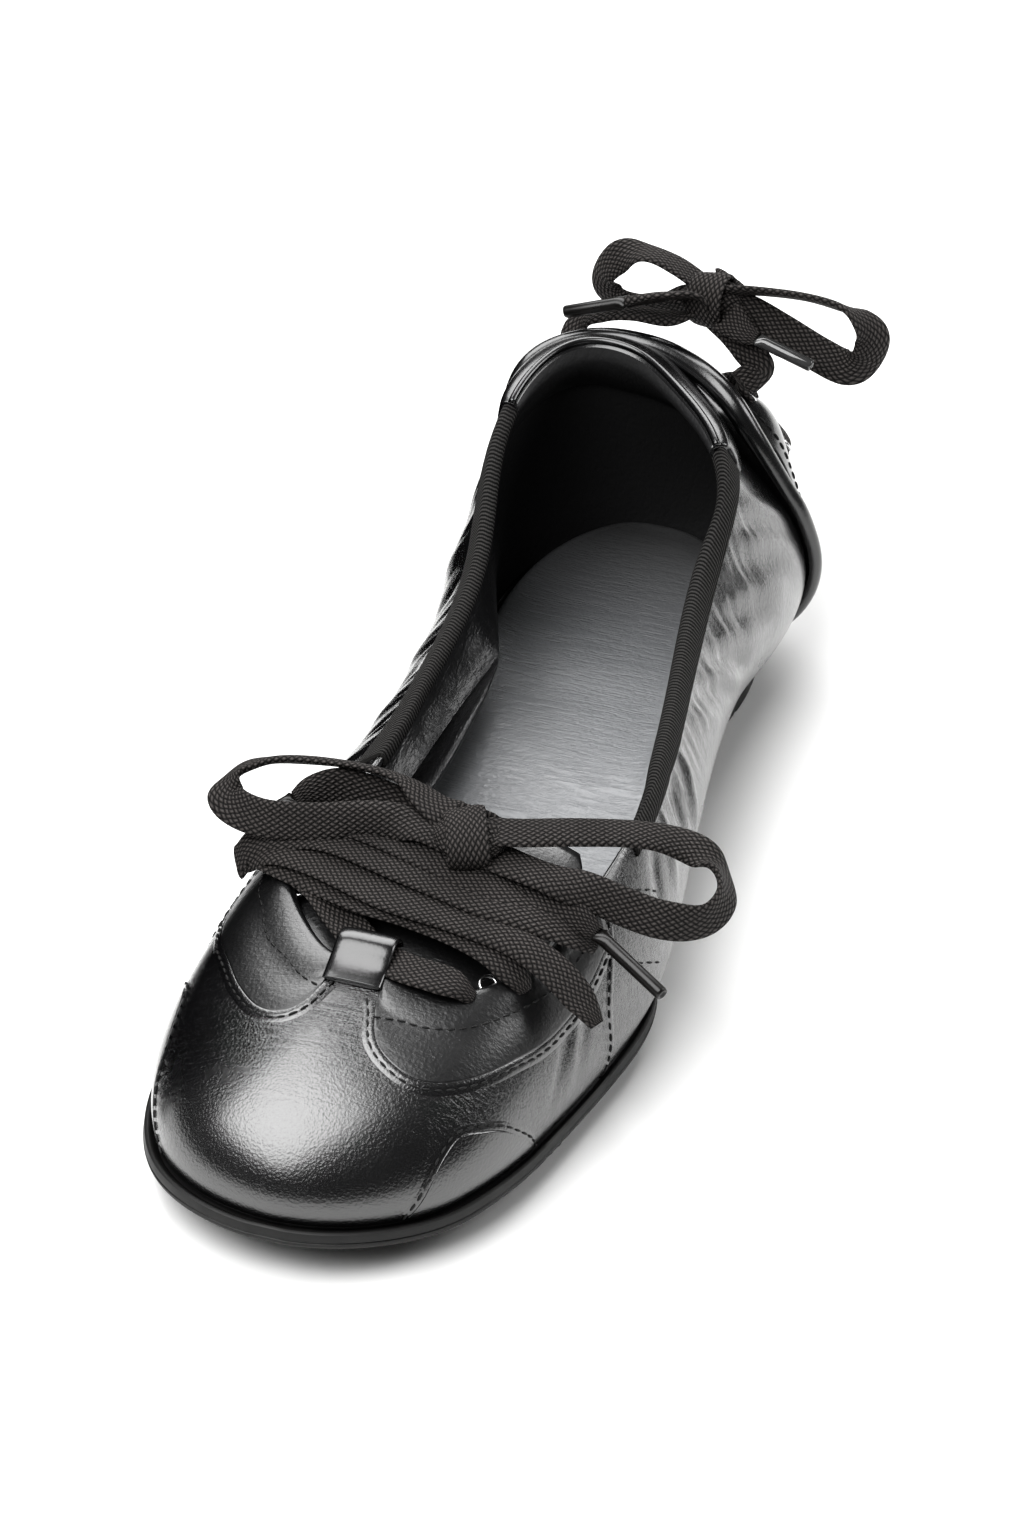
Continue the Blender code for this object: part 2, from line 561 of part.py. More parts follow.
def edge_trim(name, section, u_from, u_to, look):
    """A channel-shaped trim over the topline, padded except at its two ends."""
    v, out, up, pad_out, pad_up = np.array(section).T[:, None, :]
    u = stations_between(u_from, u_to)[:, None]
    pad = np.sin(np.linspace(0, math.pi, len(u)))[:, None] ** 0.5
    return strip_solid(name, off_skin(u, v, (out + pad * pad_out) * MM, (up + pad * pad_up) * MM), look)


def make_eyelet(eyelet, look):
    """A flat metal ring square to the upper."""
    around = 8
    middle, out, up = (part[0] for part in skin_frame(np.array([eyelet.u]), np.array([eyelet.v])))
    side = np.cross(out, up)
    profile = [(eyelet.hole, 0.0), (eyelet.radius, 0.0), (eyelet.radius - 0.3, 0.7), (eyelet.hole + 0.1, 0.7)]
    rings = []
    for angle in np.linspace(0, 2 * math.pi, around, endpoint=False):
        spoke = side * math.cos(angle) + up * math.sin(angle)
        rings.append([middle + (spoke * r + out * (eyelet.off + h)) * MM for r, h in profile])
    faces = grid_faces(around, len(profile), wrap_rows=True, wrap_columns=True)
    return solid(eyelet.name, np.array(rings).reshape(-1, 3), faces, look)


def place(points):
    """Points given in millimetres from the routes' zero, in metres."""
    return np.asarray(points, float) * MM + np.array((HEEL_X - ROUTE_HEEL_X, MIDDLE_Y, 0.0))


def smooth(route, steps):
    """A smooth open curve through the rows of a route, steps to a leg."""
    route = np.asarray(route, float)
    ends = np.concatenate((2 * route[:1] - route[1:2], route, 2 * route[-1:] - route[-2:-1]))
    made = []
    for i in range(len(route) - 1):
        a, b, c, d = ends[i : i + 4]
        for t in np.linspace(0, 1, steps, endpoint=False):
            made.append(b + t / 2 * (c - a + t * (2 * a - 5 * b + 4 * c - d + t * (3 * (b - c) + d - a))))
    made.append(route[-1])
    return np.array(made)


def unit(vectors):
    """The vectors at length one."""
    return vectors / np.linalg.norm(vectors, axis=-1, keepdims=True)


def ribbon(name, line, face, width, thickness, look):
    """A flat strip along a line, its broad side towards face."""
    along = unit(np.gradient(line, axis=0))
    side = unit(np.cross(along, face))
    out = np.cross(side, along)
    sections = []
    for a, b in ((-0.5, 0.5), (0.5, 0.5), (0.5, -0.5), (-0.5, -0.5)):
        sections.append(line + side * a * width + out * b * thickness)
    return strip_solid(name, np.stack(sections, axis=1), look)


def lace(name, route, look, face=(0, 0, 1)):
    """A stretch of flat lace; where turn is 1 it stands on its edge, facing out of the loop it makes."""
    rows = smooth(route, LACE_STEPS)
    line = place(rows[:, :3])
    out = unit(line - line.mean(axis=0))
    turn = rows[:, 3:4]
    return ribbon(name, line, np.asarray(face) * (1 - turn) + out * turn, LACE_WIDTH, LACE_THICKNESS, look)


def join(first, others):
    """Union of laces that cross, as modifiers on the first."""
    for other in others:
        cut = first.modifiers.new(other.name, "BOOLEAN")
        cut.operation = "UNION"
        cut.object = other
        other.hide_render = True
        other.display_type = "WIRE"
    return first


def make_front_bars(look):
    """The crossing bars over the tongue, as one solid."""
    made = []
    for i, bar in enumerate(FRONT_BARS):
        made.append(lace("lace_front_bars" if i == 0 else f"front_bar_{i}", bar, look))
    return join(made[0], made[1:])


def make_heel_bars(look):
    """The two bars that cross on the back of the counter, as one solid."""
    made = []
    for i, bar in enumerate(HEEL_BARS):
        rows = smooth(bar, LACE_STEPS)
        line = off_skin(rows[:, 0], rows[:, 1], np.full(len(rows), HEEL_BAR_OFF))
        out = skin_frame(rows[:, 0], rows[:, 1])[1]
        name = "lace_heel_bars" if i == 0 else f"heel_bar_{i}"
        made.append(ribbon(name, line, out, LACE_WIDTH, LACE_THICKNESS, look))
    return join(made[0], made[1:])


def make_knot(knot, look):
    """A rounded block where the loops are tied."""
    shape = bmesh.new()
    bmesh.ops.create_uvsphere(shape, u_segments=10, v_segments=6, radius=1.0)
    for vertex in shape.verts:
        for axis in range(3):
            c = vertex.co[axis]
            vertex.co[axis] = math.copysign(abs(c) ** 0.7, c) * knot.half[axis] * MM
    mesh = bpy.data.meshes.new(knot.name)
    shape.to_mesh(mesh)
    shape.free()
    mesh.shade_smooth()
    mesh.materials.append(look)
    made = bpy.data.objects.new(knot.name, mesh)
    made.parent = shoe
    made.location = place([knot.middle])[0]
    bpy.context.collection.objects.link(made)
    return made


def make_aglet(aglet, look):
    """The stiff tip of a lace end, a plain round pin."""
    sides = 8
    start, end = place([aglet.start, aglet.end])
    along = unit(end - start)
    side = unit(np.cross(along, (0, 0, 1)))
    up = np.cross(side, along)
    sections = []
    for point in (start, end):
        angles = np.linspace(0, 2 * math.pi, sides, endpoint=False)
        sections.append([point + (side * math.cos(a) + up * math.sin(a)) * AGLET_RADIUS for a in angles])
    return strip_solid(aglet.name, sections, look)


def make_keeper(look):
    """The leather loop at the throat's front: it leaves the vamp and passes over the lowest lace bar."""
    on_vamp = off_skin(KEEPER_U, np.array(KEEPER_V), OVERLAY_GAP + KEEPER_THICKNESS / 2)
    line = smooth(np.concatenate((on_vamp, place(KEEPER_ROUTE))), LACE_STEPS)
    return ribbon("lace_keeper", line, (0, 0, 1), KEEPER_WIDTH, KEEPER_THICKNESS, look)


def make_tread_grooves(sole):
    """Grooves across both pods, cut from below and out through their sides."""
    points, faces = [], []
    for percent in GROOVES:
        middle = HEEL_X + LENGTH * percent / 100
        back, front = middle - GROOVE_WIDTH / 2, middle + GROOVE_WIDTH / 2
        corners = ((back, -BALL_WIDTH), (front, -BALL_WIDTH), (front, BALL_WIDTH), (back, BALL_WIDTH))
        start = len(points)
        for z in (-GROOVE_DEPTH, GROOVE_DEPTH):
            points += [(x, y, z) for x, y in corners]
        for face in ((0, 1, 2, 3), (4, 5, 6, 7), (0, 1, 5, 4), (1, 2, 6, 5), (2, 3, 7, 6), (3, 0, 4, 7)):
            faces.append(tuple(start + n for n in face))
    grooves = solid("tread_grooves", points, faces, sole.data.materials[0])
    grooves.hide_render = True
    grooves.display_type = "WIRE"
    cut = sole.modifiers.new("grooves", "BOOLEAN")
    cut.operation = "DIFFERENCE"
    cut.object = grooves


leather = material("upper leather", (0.012, 0.012, 0.013), 0.25)
panel_leather = material("panel leather", (0.012, 0.012, 0.013), 0.3)
collar_leather = material("collar leather", (0.013, 0.013, 0.014), 0.2)
rubber = material("sole rubber", (0.015, 0.015, 0.015), 0.6)
tape = material("elastic tape", (0.02, 0.02, 0.02), 0.85)
cotton = material("waxed cotton lace", (0.022, 0.019, 0.018), 0.75)
steel = material("eyelet steel", (0.6, 0.6, 0.6), 0.25, 1.0)
plastic = material("aglet plastic", (0.03, 0.03, 0.03), 0.2)

make_upper(leather)
make_tread_grooves(make_sole(rubber))
make_insole(material("insole leather", (0.03, 0.03, 0.032), 0.45))
make_tongue(material("tongue leather", (0.014, 0.014, 0.015), 0.35))
make_keeper(panel_leather)
edge_panel("eyestay_outer", EYESTAY_OUTER, THROAT_EDGE, 14, panel_leather)
edge_panel("eyestay_inner", EYESTAY_INNER, THROAT_EDGE, 14, panel_leather)
edge_panel("side_wing_outer", WING_OUTER, WING_FOOT, 12, panel_leather)
edge_panel("side_wing_inner", WING_INNER, WING_FOOT, 12, panel_leather)
edge_trim("binding_outer", TAPE_SECTION, AT["notch_outer"], AT["corner_outer"], tape)
edge_trim("binding_inner", TAPE_SECTION, AT["corner_inner"], AT["notch_inner"], tape)
edge_trim("heel_collar", COLLAR_SECTION, AT["notch_inner"] - 1, AT["notch_outer"], collar_leather)
make_counter(panel_leather)
for row in EYELETS:
    make_eyelet(row, steel)
make_front_bars(cotton)
make_heel_bars(cotton)
for row in CORDS:
    lace(row.name, row.route, cotton, row.face)
for row in KNOTS_TIED:
    make_knot(row, cotton)
for row in AGLETS:
    make_aglet(row, plastic)
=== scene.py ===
# %% [markdown]
# A black leather lace-up ballet sneaker
#
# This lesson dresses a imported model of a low, soft leather shoe: the wearer's left one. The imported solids
# are the frame. They give the size and the collision, and everything that is seen is modelled over them
# here, in metres, with the toe towards +X, the outer side of the foot towards +Y and the floor at zero.

# %% Load the frame
import math
from collections import namedtuple

import bmesh
import bpy
import numpy as np
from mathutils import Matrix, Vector


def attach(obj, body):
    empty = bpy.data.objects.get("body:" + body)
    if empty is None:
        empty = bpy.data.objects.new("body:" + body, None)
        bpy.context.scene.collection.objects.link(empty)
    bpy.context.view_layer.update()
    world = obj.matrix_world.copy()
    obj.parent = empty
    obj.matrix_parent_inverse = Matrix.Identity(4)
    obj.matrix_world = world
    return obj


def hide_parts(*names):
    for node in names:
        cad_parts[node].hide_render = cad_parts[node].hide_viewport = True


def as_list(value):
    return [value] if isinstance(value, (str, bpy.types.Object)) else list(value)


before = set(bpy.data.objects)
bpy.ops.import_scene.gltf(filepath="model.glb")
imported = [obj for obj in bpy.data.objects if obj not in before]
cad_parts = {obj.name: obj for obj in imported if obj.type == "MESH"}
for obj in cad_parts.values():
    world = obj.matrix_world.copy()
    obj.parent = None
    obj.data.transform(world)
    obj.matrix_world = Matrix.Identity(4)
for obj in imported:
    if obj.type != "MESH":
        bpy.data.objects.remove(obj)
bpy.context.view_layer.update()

MM = 0.001
print("solids in the frame:", len(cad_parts))

# %% [markdown]
# The last
#
# A shoemaker builds on a last, a form with the shape of the foot. Here it is a table of stations round
# the sole line, like the one that the solids were made from; the rows of heel and toe are moved by up to
# a few millimetres, because soft leather stands a little off a plain last there. A closed spline through
# the stations gives every value at any place u, where u runs from 0 at the heel's back along the outer
# side to the toe and home along the inner side.

# %% Sizes and stations of the last
LENGTH = 236.0 * MM
BALL_WIDTH = 85.0 * MM
INSTEP_HEIGHT = 46.0 * MM
HEEL_HEIGHT = 64.5 * MM
HEEL_X = -115.43 * MM
MIDDLE_Y = 1.0 * MM
ROUTE_HEEL_X = -116.5 * MM
WALL = 2.0 * MM
GAP = 0.3 * MM
LIP_DEPTH = 3.4 * MM
LIP_GROOVE = 0.2 * MM
LIP_FULL = 3.0 * MM
LIP_COLUMN = 8  # of a row of the last
PUFF_LOW = 0.75
Station = namedtuple("Station", "name foot_x foot_y top_x top_y climb fullness slope bulge lip")
LAST = [
    Station("heel", 0.0, -3.5, 1.0, -11.2, 1.00, 1.3, 1.2, 4.5, 1.6),
    Station("heel_outer", 5.3, 28.5, 5.5, 8.0, 0.96, 1.8, 0.9, 11.5, 1.6),
    Station("notch_outer", 12.9, 35.0, 11.7, 23.6, 0.86, 1.6, 1.0, 9.5, 1.2),
    Station("quarter_outer", 26.1, 30.6, 23.1, 29.4, 0.27, 1.0, 0.0, 10.0, -2.0),
    Station("waist_outer", 40.9, 34.1, 38.8, 36.0, 0.02, 1.0, 0.0, 9.0, -3.5),
    Station("shank_outer", 54.4, 44.1, 50.2, 41.0, 0.00, 1.1, 0.0, 6.5, -1.0),
    Station("corner_outer", 63.3, 49.2, 57.8, 41.6, -0.08, 1.4, 0.3, 4.5, 2.2),
    Station("ball_outer", 72.7, 46.7, 69.3, 37.4, -0.26, 1.9, 0.5, 3.0, 2.4),
    Station("vamp_outer", 83.4, 40.4, 77.1, 30.9, -0.33, 2.2, 0.5, 2.0, 2.4),
    Station("toe_outer", 95.2, 26.1, 82.0, 17.1, -0.32, 2.3, 0.3, 1.0, 2.8),
    Station("toe", 101.2, -4.7, 82.0, -5.3, -0.22, 2.3, 0.2, 1.0, 3.0),
    Station("toe_inner", 97.1, -38.4, 79.9, -18.2, -0.25, 2.3, 0.2, 1.0, 3.0),
    Station("vamp_inner", 86.8, -50.7, 75.6, -28.6, -0.22, 2.2, 0.3, 2.0, 2.6),
    Station("ball_inner", 72.7, -50.4, 68.9, -31.2, -0.10, 1.9, 0.4, 3.5, 2.6),
    Station("corner_inner", 59.5, -46.5, 55.3, -25.6, -0.02, 1.5, 0.3, 5.5, 1.2),
    Station("waist_inner", 43.4, -34.1, 42.6, -25.6, 0.00, 1.1, 0.0, 8.0, -3.5),
    Station("quarter_inner", 27.3, -32.4, 26.5, -28.2, 0.19, 1.0, 0.0, 8.0, -2.0),
    Station("notch_inner", 12.9, -36.5, 11.4, -34.6, 0.85, 1.4, 1.0, 5.0, 1.2),
    Station("heel_inner", 5.3, -29.5, 3.5, -28.4, 1.00, 1.6, 1.0, 4.5, 1.6),
]
SOLE_TOP = [  # percent of LENGTH, millimetres
    (-5, 9.6), (12, 9.6), (24, 10.8), (38, 12.8), (50, 10.6), (63, 8.0), (74, 7.7), (84, 8.4), (93, 9.6),
    (104, 11.8),
]
TREAD = [  # percent of LENGTH, millimetres
    (-5, 1.6), (-1, 0.6), (2, 0.0), (20, 0.0), (25, 6.2), (45, 7.0), (52, 4.0), (56, 0.0), (82, 0.0),
    (85, 3.6), (93, 4.8), (104, 7.0),
]


# %% The surface of the last
def closed_spline(knots, values, period):
    """A function reading a smooth closed curve through rows of values at the given knots."""
    count = len(knots)
    gaps = np.diff(np.append(knots, knots[0] + period))
    rises = (np.roll(values, -1, axis=0) - values) / gaps[:, None]
    system = np.zeros((count, count))
    for i in range(count):
        before = gaps[i - 1]
        after = gaps[i]
        system[i, i - 1] += before
        system[i, i] += 2 * (before + after)
        system[i, (i + 1) % count] += after
    bends = np.linalg.solve(system, 6 * (rises - np.roll(rises, 1, axis=0)))

    def read(at):
        at = np.asarray(at, float) % period
        i = np.clip(np.searchsorted(knots, at, side="right") - 1, 0, count - 1)
        j = (i + 1) % count
        gap = gaps[i][..., None]
        b = ((at - knots[i])[..., None]) / gap
        a = 1 - b
        bend = ((a**3 - a) * bends[i] + (b**3 - b) * bends[j]) * gap**2 / 6
        return a * values[i] + b * values[j] + bend

    return read


def station_values():
    """Each station in metres: foot x and y, top x, y and z, fullness, slope, bulge and lip."""
    rows = []
    for s in LAST:
        foot = (HEEL_X + LENGTH * s.foot_x / 100, MIDDLE_Y + BALL_WIDTH * s.foot_y / 100)
        top = (HEEL_X + LENGTH * s.top_x / 100, MIDDLE_Y + BALL_WIDTH * s.top_y / 100)
        height = INSTEP_HEIGHT + (HEEL_HEIGHT - INSTEP_HEIGHT) * s.climb
        rows.append((*foot, *top, height, s.fullness, s.slope, s.bulge * MM, s.lip * MM))
    return np.array(rows)


VALUES = station_values()
STEPS = np.linalg.norm(np.roll(VALUES[:, :2], -1, axis=0) - VALUES[:, :2], axis=1)
GIRTH = STEPS.sum()
KNOTS = np.concatenate(([0.0], np.cumsum(STEPS)[:-1])) / GIRTH
AT = {s.name: knot for s, knot in zip(LAST, KNOTS)}
last = closed_spline(KNOTS, VALUES, 1.0)


def percent_along(x):
    """Place along the shoe, in percent of LENGTH."""
    return (np.asarray(x) - HEEL_X) / LENGTH * 100


def height_along(table, x):
    """Height at x from a table of (percent of LENGTH, millimetres), eased between its rows."""
    table = np.array(table)
    at = percent_along(x)
    i = np.clip(np.searchsorted(table[:, 0], at) - 1, 0, len(table) - 2)
    t = np.clip((at - table[i, 0]) / (table[i + 1, 0] - table[i, 0]), 0, 1)
    ease = t * t * (3 - 2 * t)
    return MM * (table[i, 1] * (1 - ease) + table[i + 1, 1] * ease)


def outward(u):
    """Unit vectors square to the sole line, level and pointing out of the shoe."""
    h = 1e-4
    along = last(u + h)[..., :2] - last(u - h)[..., :2]
    along /= np.linalg.norm(along, axis=-1, keepdims=True)
    return np.stack((-along[..., 1], along[..., 0]), axis=-1)


def skin(u, v):
    """Outer skin of the last: v runs from 0 at the sole to 1 at the topline."""
    u, v = np.broadcast_arrays(np.asarray(u, float), np.asarray(v, float))
    row = last(u)
    foot, top = row[..., 0:2], row[..., 2:4]
    top_z, fullness, slope, bulge = (row[..., column] for column in range(4, LIP_COLUMN))
    angle = v * math.pi / 2
    power = 2 / fullness
    across = 1 - np.cos(angle) ** power
    up = np.sin(angle) ** power
    foot_z = height_along(SOLE_TOP, foot[..., 0]) + GAP
    lean = slope * np.linalg.norm(top - foot, axis=-1)
    puff = (bulge * np.sin(math.pi * up**PUFF_LOW))[..., None]
    plan = foot + (top - foot) * across[..., None] + outward(u) * puff
    z = foot_z + (top_z - foot_z - lean) * up + lean * across
    return np.concatenate((plan, z[..., None]), axis=-1)


def unit(vectors):
    """The vectors at length one."""
    return vectors / np.linalg.norm(vectors, axis=-1, keepdims=True)


def skin_frame(u, v):
    """Points of the skin with the unit vectors out of it and up along it."""
    u, v = np.broadcast_arrays(np.asarray(u, float), np.asarray(v, float))
    h = 2e-3
    up = skin(u, np.minimum(v + h, 1.0)) - skin(u, np.maximum(v - h, 0.0))
    along = skin(u + h, v) - skin(u - h, v)
    return skin(u, v), unit(np.cross(up, along)), unit(up)


print("girth of the sole line: %.0f mm" % (GIRTH / MM))

# %% [markdown]
# Creases
#
# Soft leather gathers where elastic pulls the topline in, and it folds where the foot bends. On the outer
# side long folds run on the slant from the tape down towards the heel; on the toe there are none. Noise
# could make wrinkles everywhere, but real folds have their own places, so each is a row of a short table:
# where it starts and ends on the last, how deep it is and how wide. A fold is a soft trough or ridge, and
# it fades towards both ends.

# %% Folds of the leather
Fold = namedtuple("Fold", "u_from v_from u_to v_to depth width")
FOLDS = [
    Fold(0.103, 0.77, 0.060, 0.40, 0.9, 2.2),
    Fold(0.111, 0.76, 0.070, 0.42, -1.1, 2.4),
    Fold(0.117, 0.72, 0.072, 0.42, 1.1, 2.2),
    Fold(0.129, 0.74, 0.080, 0.38, -1.4, 4.0),
    Fold(0.149, 0.74, 0.084, 0.34, 1.5, 2.8),
    Fold(0.152, 0.70, 0.100, 0.40, -1.3, 3.2),
    Fold(0.168, 0.74, 0.110, 0.38, 1.0, 2.4),
    Fold(0.178, 0.72, 0.132, 0.42, -1.0, 2.0),
    Fold(0.188, 0.74, 0.144, 0.42, 0.8, 2.0),
    Fold(0.204, 0.78, 0.152, 0.42, -0.9, 1.7),
    Fold(0.217, 0.78, 0.180, 0.46, 0.6, 2.0),
    Fold(0.234, 0.80, 0.252, 0.42, 1.1, 2.4),
    Fold(0.258, 0.82, 0.266, 0.50, -1.1, 2.6),
    Fold(0.280, 0.78, 0.288, 0.44, 0.7, 2.0),
    Fold(0.298, 0.76, 0.304, 0.46, -0.6, 1.8),
    Fold(0.352, 0.62, 0.372, 0.20, -0.5, 1.8),
    Fold(0.362, 0.56, 0.380, 0.16, 0.4, 1.8),
    Fold(0.372, 0.52, 0.390, 0.18, -0.4, 1.6),
    Fold(0.650, 0.50, 0.632, 0.18, -0.5, 1.8),
    Fold(0.690, 0.58, 0.684, 0.30, 0.4, 2.0),
    Fold(0.722, 0.76, 0.714, 0.50, -0.5, 2.0),
    Fold(0.742, 0.78, 0.732, 0.46, 0.5, 2.2),
    Fold(0.764, 0.76, 0.758, 0.50, -0.5, 2.2),
    Fold(0.788, 0.78, 0.776, 0.44, 0.6, 2.6),
    Fold(0.806, 0.74, 0.804, 0.50, -0.5, 2.0),
    Fold(0.828, 0.78, 0.824, 0.42, 0.7, 3.0),
    Fold(0.852, 0.76, 0.856, 0.42, -0.7, 2.6),
    Fold(0.868, 0.78, 0.886, 0.40, 0.7, 2.8),
    Fold(0.884, 0.76, 0.906, 0.44, -0.6, 2.4),
]
WALL_HEIGHT = 52 * MM  # usual way up the wall, to measure folds in millimetres
FOLD_REACH = 1.15  # how far a fold reaches from its middle, in half lengths


def fold_heights(folds, u, v):
    """How far a table of folds lifts the leather at u and v."""
    u, v = np.broadcast_arrays(np.asarray(u, float) % 1.0, np.asarray(v, float))
    x, y = u * GIRTH, v * WALL_HEIGHT
    total = np.zeros(u.shape)
    for f in folds:
        ax, ay = f.u_from * GIRTH, f.v_from * WALL_HEIGHT
        bx, by = f.u_to * GIRTH, f.v_to * WALL_HEIGHT
        length = math.hypot(bx - ax, by - ay)
        along = ((x - ax) * (bx - ax) + (y - ay) * (by - ay)) / length**2
        off = ((x - ax) * (by - ay) - (y - ay) * (bx - ax)) / length
        fade = np.clip(FOLD_REACH - np.abs(along - 0.5) * 2, 0, 1)
        fade = fade * fade * (3 - 2 * fade)
        total += f.depth * MM * np.exp(-((off / (f.width * MM)) ** 2)) * fade
    return total


def relief(u, v):
    """How far the leather stands out of the skin because of its folds."""
    return fold_heights(FOLDS, u, v)


def off_leather(u, v, out, up=0.0):
    """Points out of the folded leather, and up along it past the topline."""
    point, normal, along = skin_frame(u, v)
    out = np.asarray(out) + relief(u, v)
    return point + normal * out[..., None] + along * np.asarray(up)[..., None]


def over_edge(u, offsets):
    """Rows of points over the topline, each at so many millimetres out and up."""
    rows = [off_leather(u, 1.0, np.full(len(u), out * MM), up * MM) for out, up in offsets]
    return np.stack(rows, axis=1)


print("folds placed:", len(FOLDS))

# %% [markdown]
# Meshes
#
# Every piece is a closed shell, made from a grid of points: a row of closed sections, capped at both
# ends, or a ring of sections that meets itself. The helper below makes the object, gives it its UV map,
# turns its faces outwards, lets it ride on the shoe and hides the solids that it stands for.

# %% Helpers that turn grids of points into pieces
def grid_faces(rows, columns, wrap_rows=False, wrap_columns=True):
    """Quads of a grid of points stored row by row."""
    i = np.arange(rows if wrap_rows else rows - 1)[:, None]
    j = np.arange(columns if wrap_columns else columns - 1)[None, :]
    k, m = (i + 1) % rows, (j + 1) % columns
    corners = [a * columns + b for a, b in ((i, j), (k, j), (k, m), (i, m))]
    return [tuple(face) for face in np.stack(corners, axis=-1).reshape(-1, 4).tolist()]


def cap_faces(start, columns):
    """Faces across a closed section whose second half runs back under its first half."""
    half = columns // 2
    return [tuple(start + n for n in (j, j + 1, columns - 2 - j, columns - 1 - j)) for j in range(half - 1)]


def add_object(name, data):
    """An object of the scene that shows the data."""
    made = bpy.data.objects.new(name, data)
    bpy.context.scene.collection.objects.link(made)
    return made


def make_piece(name, points, faces, looks, stands_for=(), uv=None, look_of_face=None):
    """A finished mesh piece at the origin, riding on the shoe."""
    mesh = bpy.data.meshes.new(name)
    mesh.from_pydata(np.asarray(points).reshape(-1, 3).tolist(), [], faces)
    for look in looks:
        mesh.materials.append(look)
    if look_of_face is not None:
        mesh.polygons.foreach_set("material_index", np.asarray(look_of_face, np.int32))
    if uv is not None:
        corners = np.empty(len(mesh.loops), np.int32)
        mesh.loops.foreach_get("vertex_index", corners)
        layer = mesh.uv_layers.new(name="UVMap")
        layer.uv.foreach_set("vector", np.asarray(uv, np.float32).reshape(-1, 2)[corners].ravel())
    shape = bmesh.new()
    shape.from_mesh(mesh)
    bmesh.ops.recalc_face_normals(shape, faces=shape.faces)
    shape.to_mesh(mesh)
    shape.free()
    mesh.shade_smooth()
    return settle(add_object(name, mesh), stands_for)


def settle(made, stands_for=()):
    """Lets a piece ride on the shoe and hides the solids that it stands for."""
    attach(made, "root")
    if stands_for:
        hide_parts(*stands_for)
    made.data.calc_loop_triangles()
    print(f"{made.name}: {len(made.data.loop_triangles)} triangles")
    return made


def strip(name, sections, look, stands_for=(), uv=None, facing=None):
    """A closed piece through a row of closed sections.

    A facing is another finish and the columns that it covers.
    """
    rows, columns = sections.shape[:2]
    faces = grid_faces(rows, columns)
    looks, which = [look], None
    if facing is not None:
        looks.append(facing[0])
        which = np.zeros(len(faces) + 2 * (columns // 2 - 1), np.int32)
        which[: len(faces)] = np.tile(np.isin(np.arange(columns), facing[1]), rows - 1)
    faces += cap_faces(0, columns) + cap_faces((rows - 1) * columns, columns)
    return make_piece(name, sections, faces, looks, stands_for, uv, which)


def smooth_line(route, steps):
    """A smooth open curve through the rows of a route, steps to a leg."""
    route = np.asarray(route, float)
    ends = np.concatenate((2 * route[:1] - route[1:2], route, 2 * route[-1:] - route[-2:-1]))
    made = []
    for i in range(len(route) - 1):
        a, b, c, d = ends[i : i + 4]
        for t in np.linspace(0, 1, steps, endpoint=False):
            made.append(b + t / 2 * (c - a + t * (2 * a - 5 * b + 4 * c - d + t * (3 * (b - c) + d - a))))
    made.append(route[-1])
    return np.array(made)


def run_along(line):
    """How far each point of a line is from its start, along it."""
    return np.concatenate(([0.0], np.cumsum(np.linalg.norm(np.diff(line, axis=0), axis=1))))


def place(points):
    """Points of a lace route, millimetres in the routes' own zero, in metres."""
    return np.asarray(points, float) * MM + np.array((HEEL_X - ROUTE_HEEL_X, MIDDLE_Y, 0.0))


# %% [markdown]
# Shader maths
#
# A material is a small graph of nodes. To write it like a formula, one class wraps a node's socket and
# overloads the operators, so that `1 - mask` or `a * b` adds the Math node by itself. Any other node
# comes from one method that takes the node's type, its settings and its inputs.

# %% A socket that can be calculated with
class Socket:
    """A value in a material's graph."""

    def __init__(self, graph, socket):
        self.graph = graph
        self.socket = socket

    def math(self, operation, *others):
        return self.graph.node("ShaderNodeMath", {"operation": operation}, self, *others)

    def __add__(self, other):
        return self.math("ADD", other)

    def __mul__(self, other):
        return self.math("MULTIPLY", other)

    def __sub__(self, other):
        return self.math("SUBTRACT", other)

    def __rsub__(self, other):
        return self.graph.node("ShaderNodeMath", {"operation": "SUBTRACT"}, other, self)

    def __pow__(self, other):
        return self.math("POWER", other)


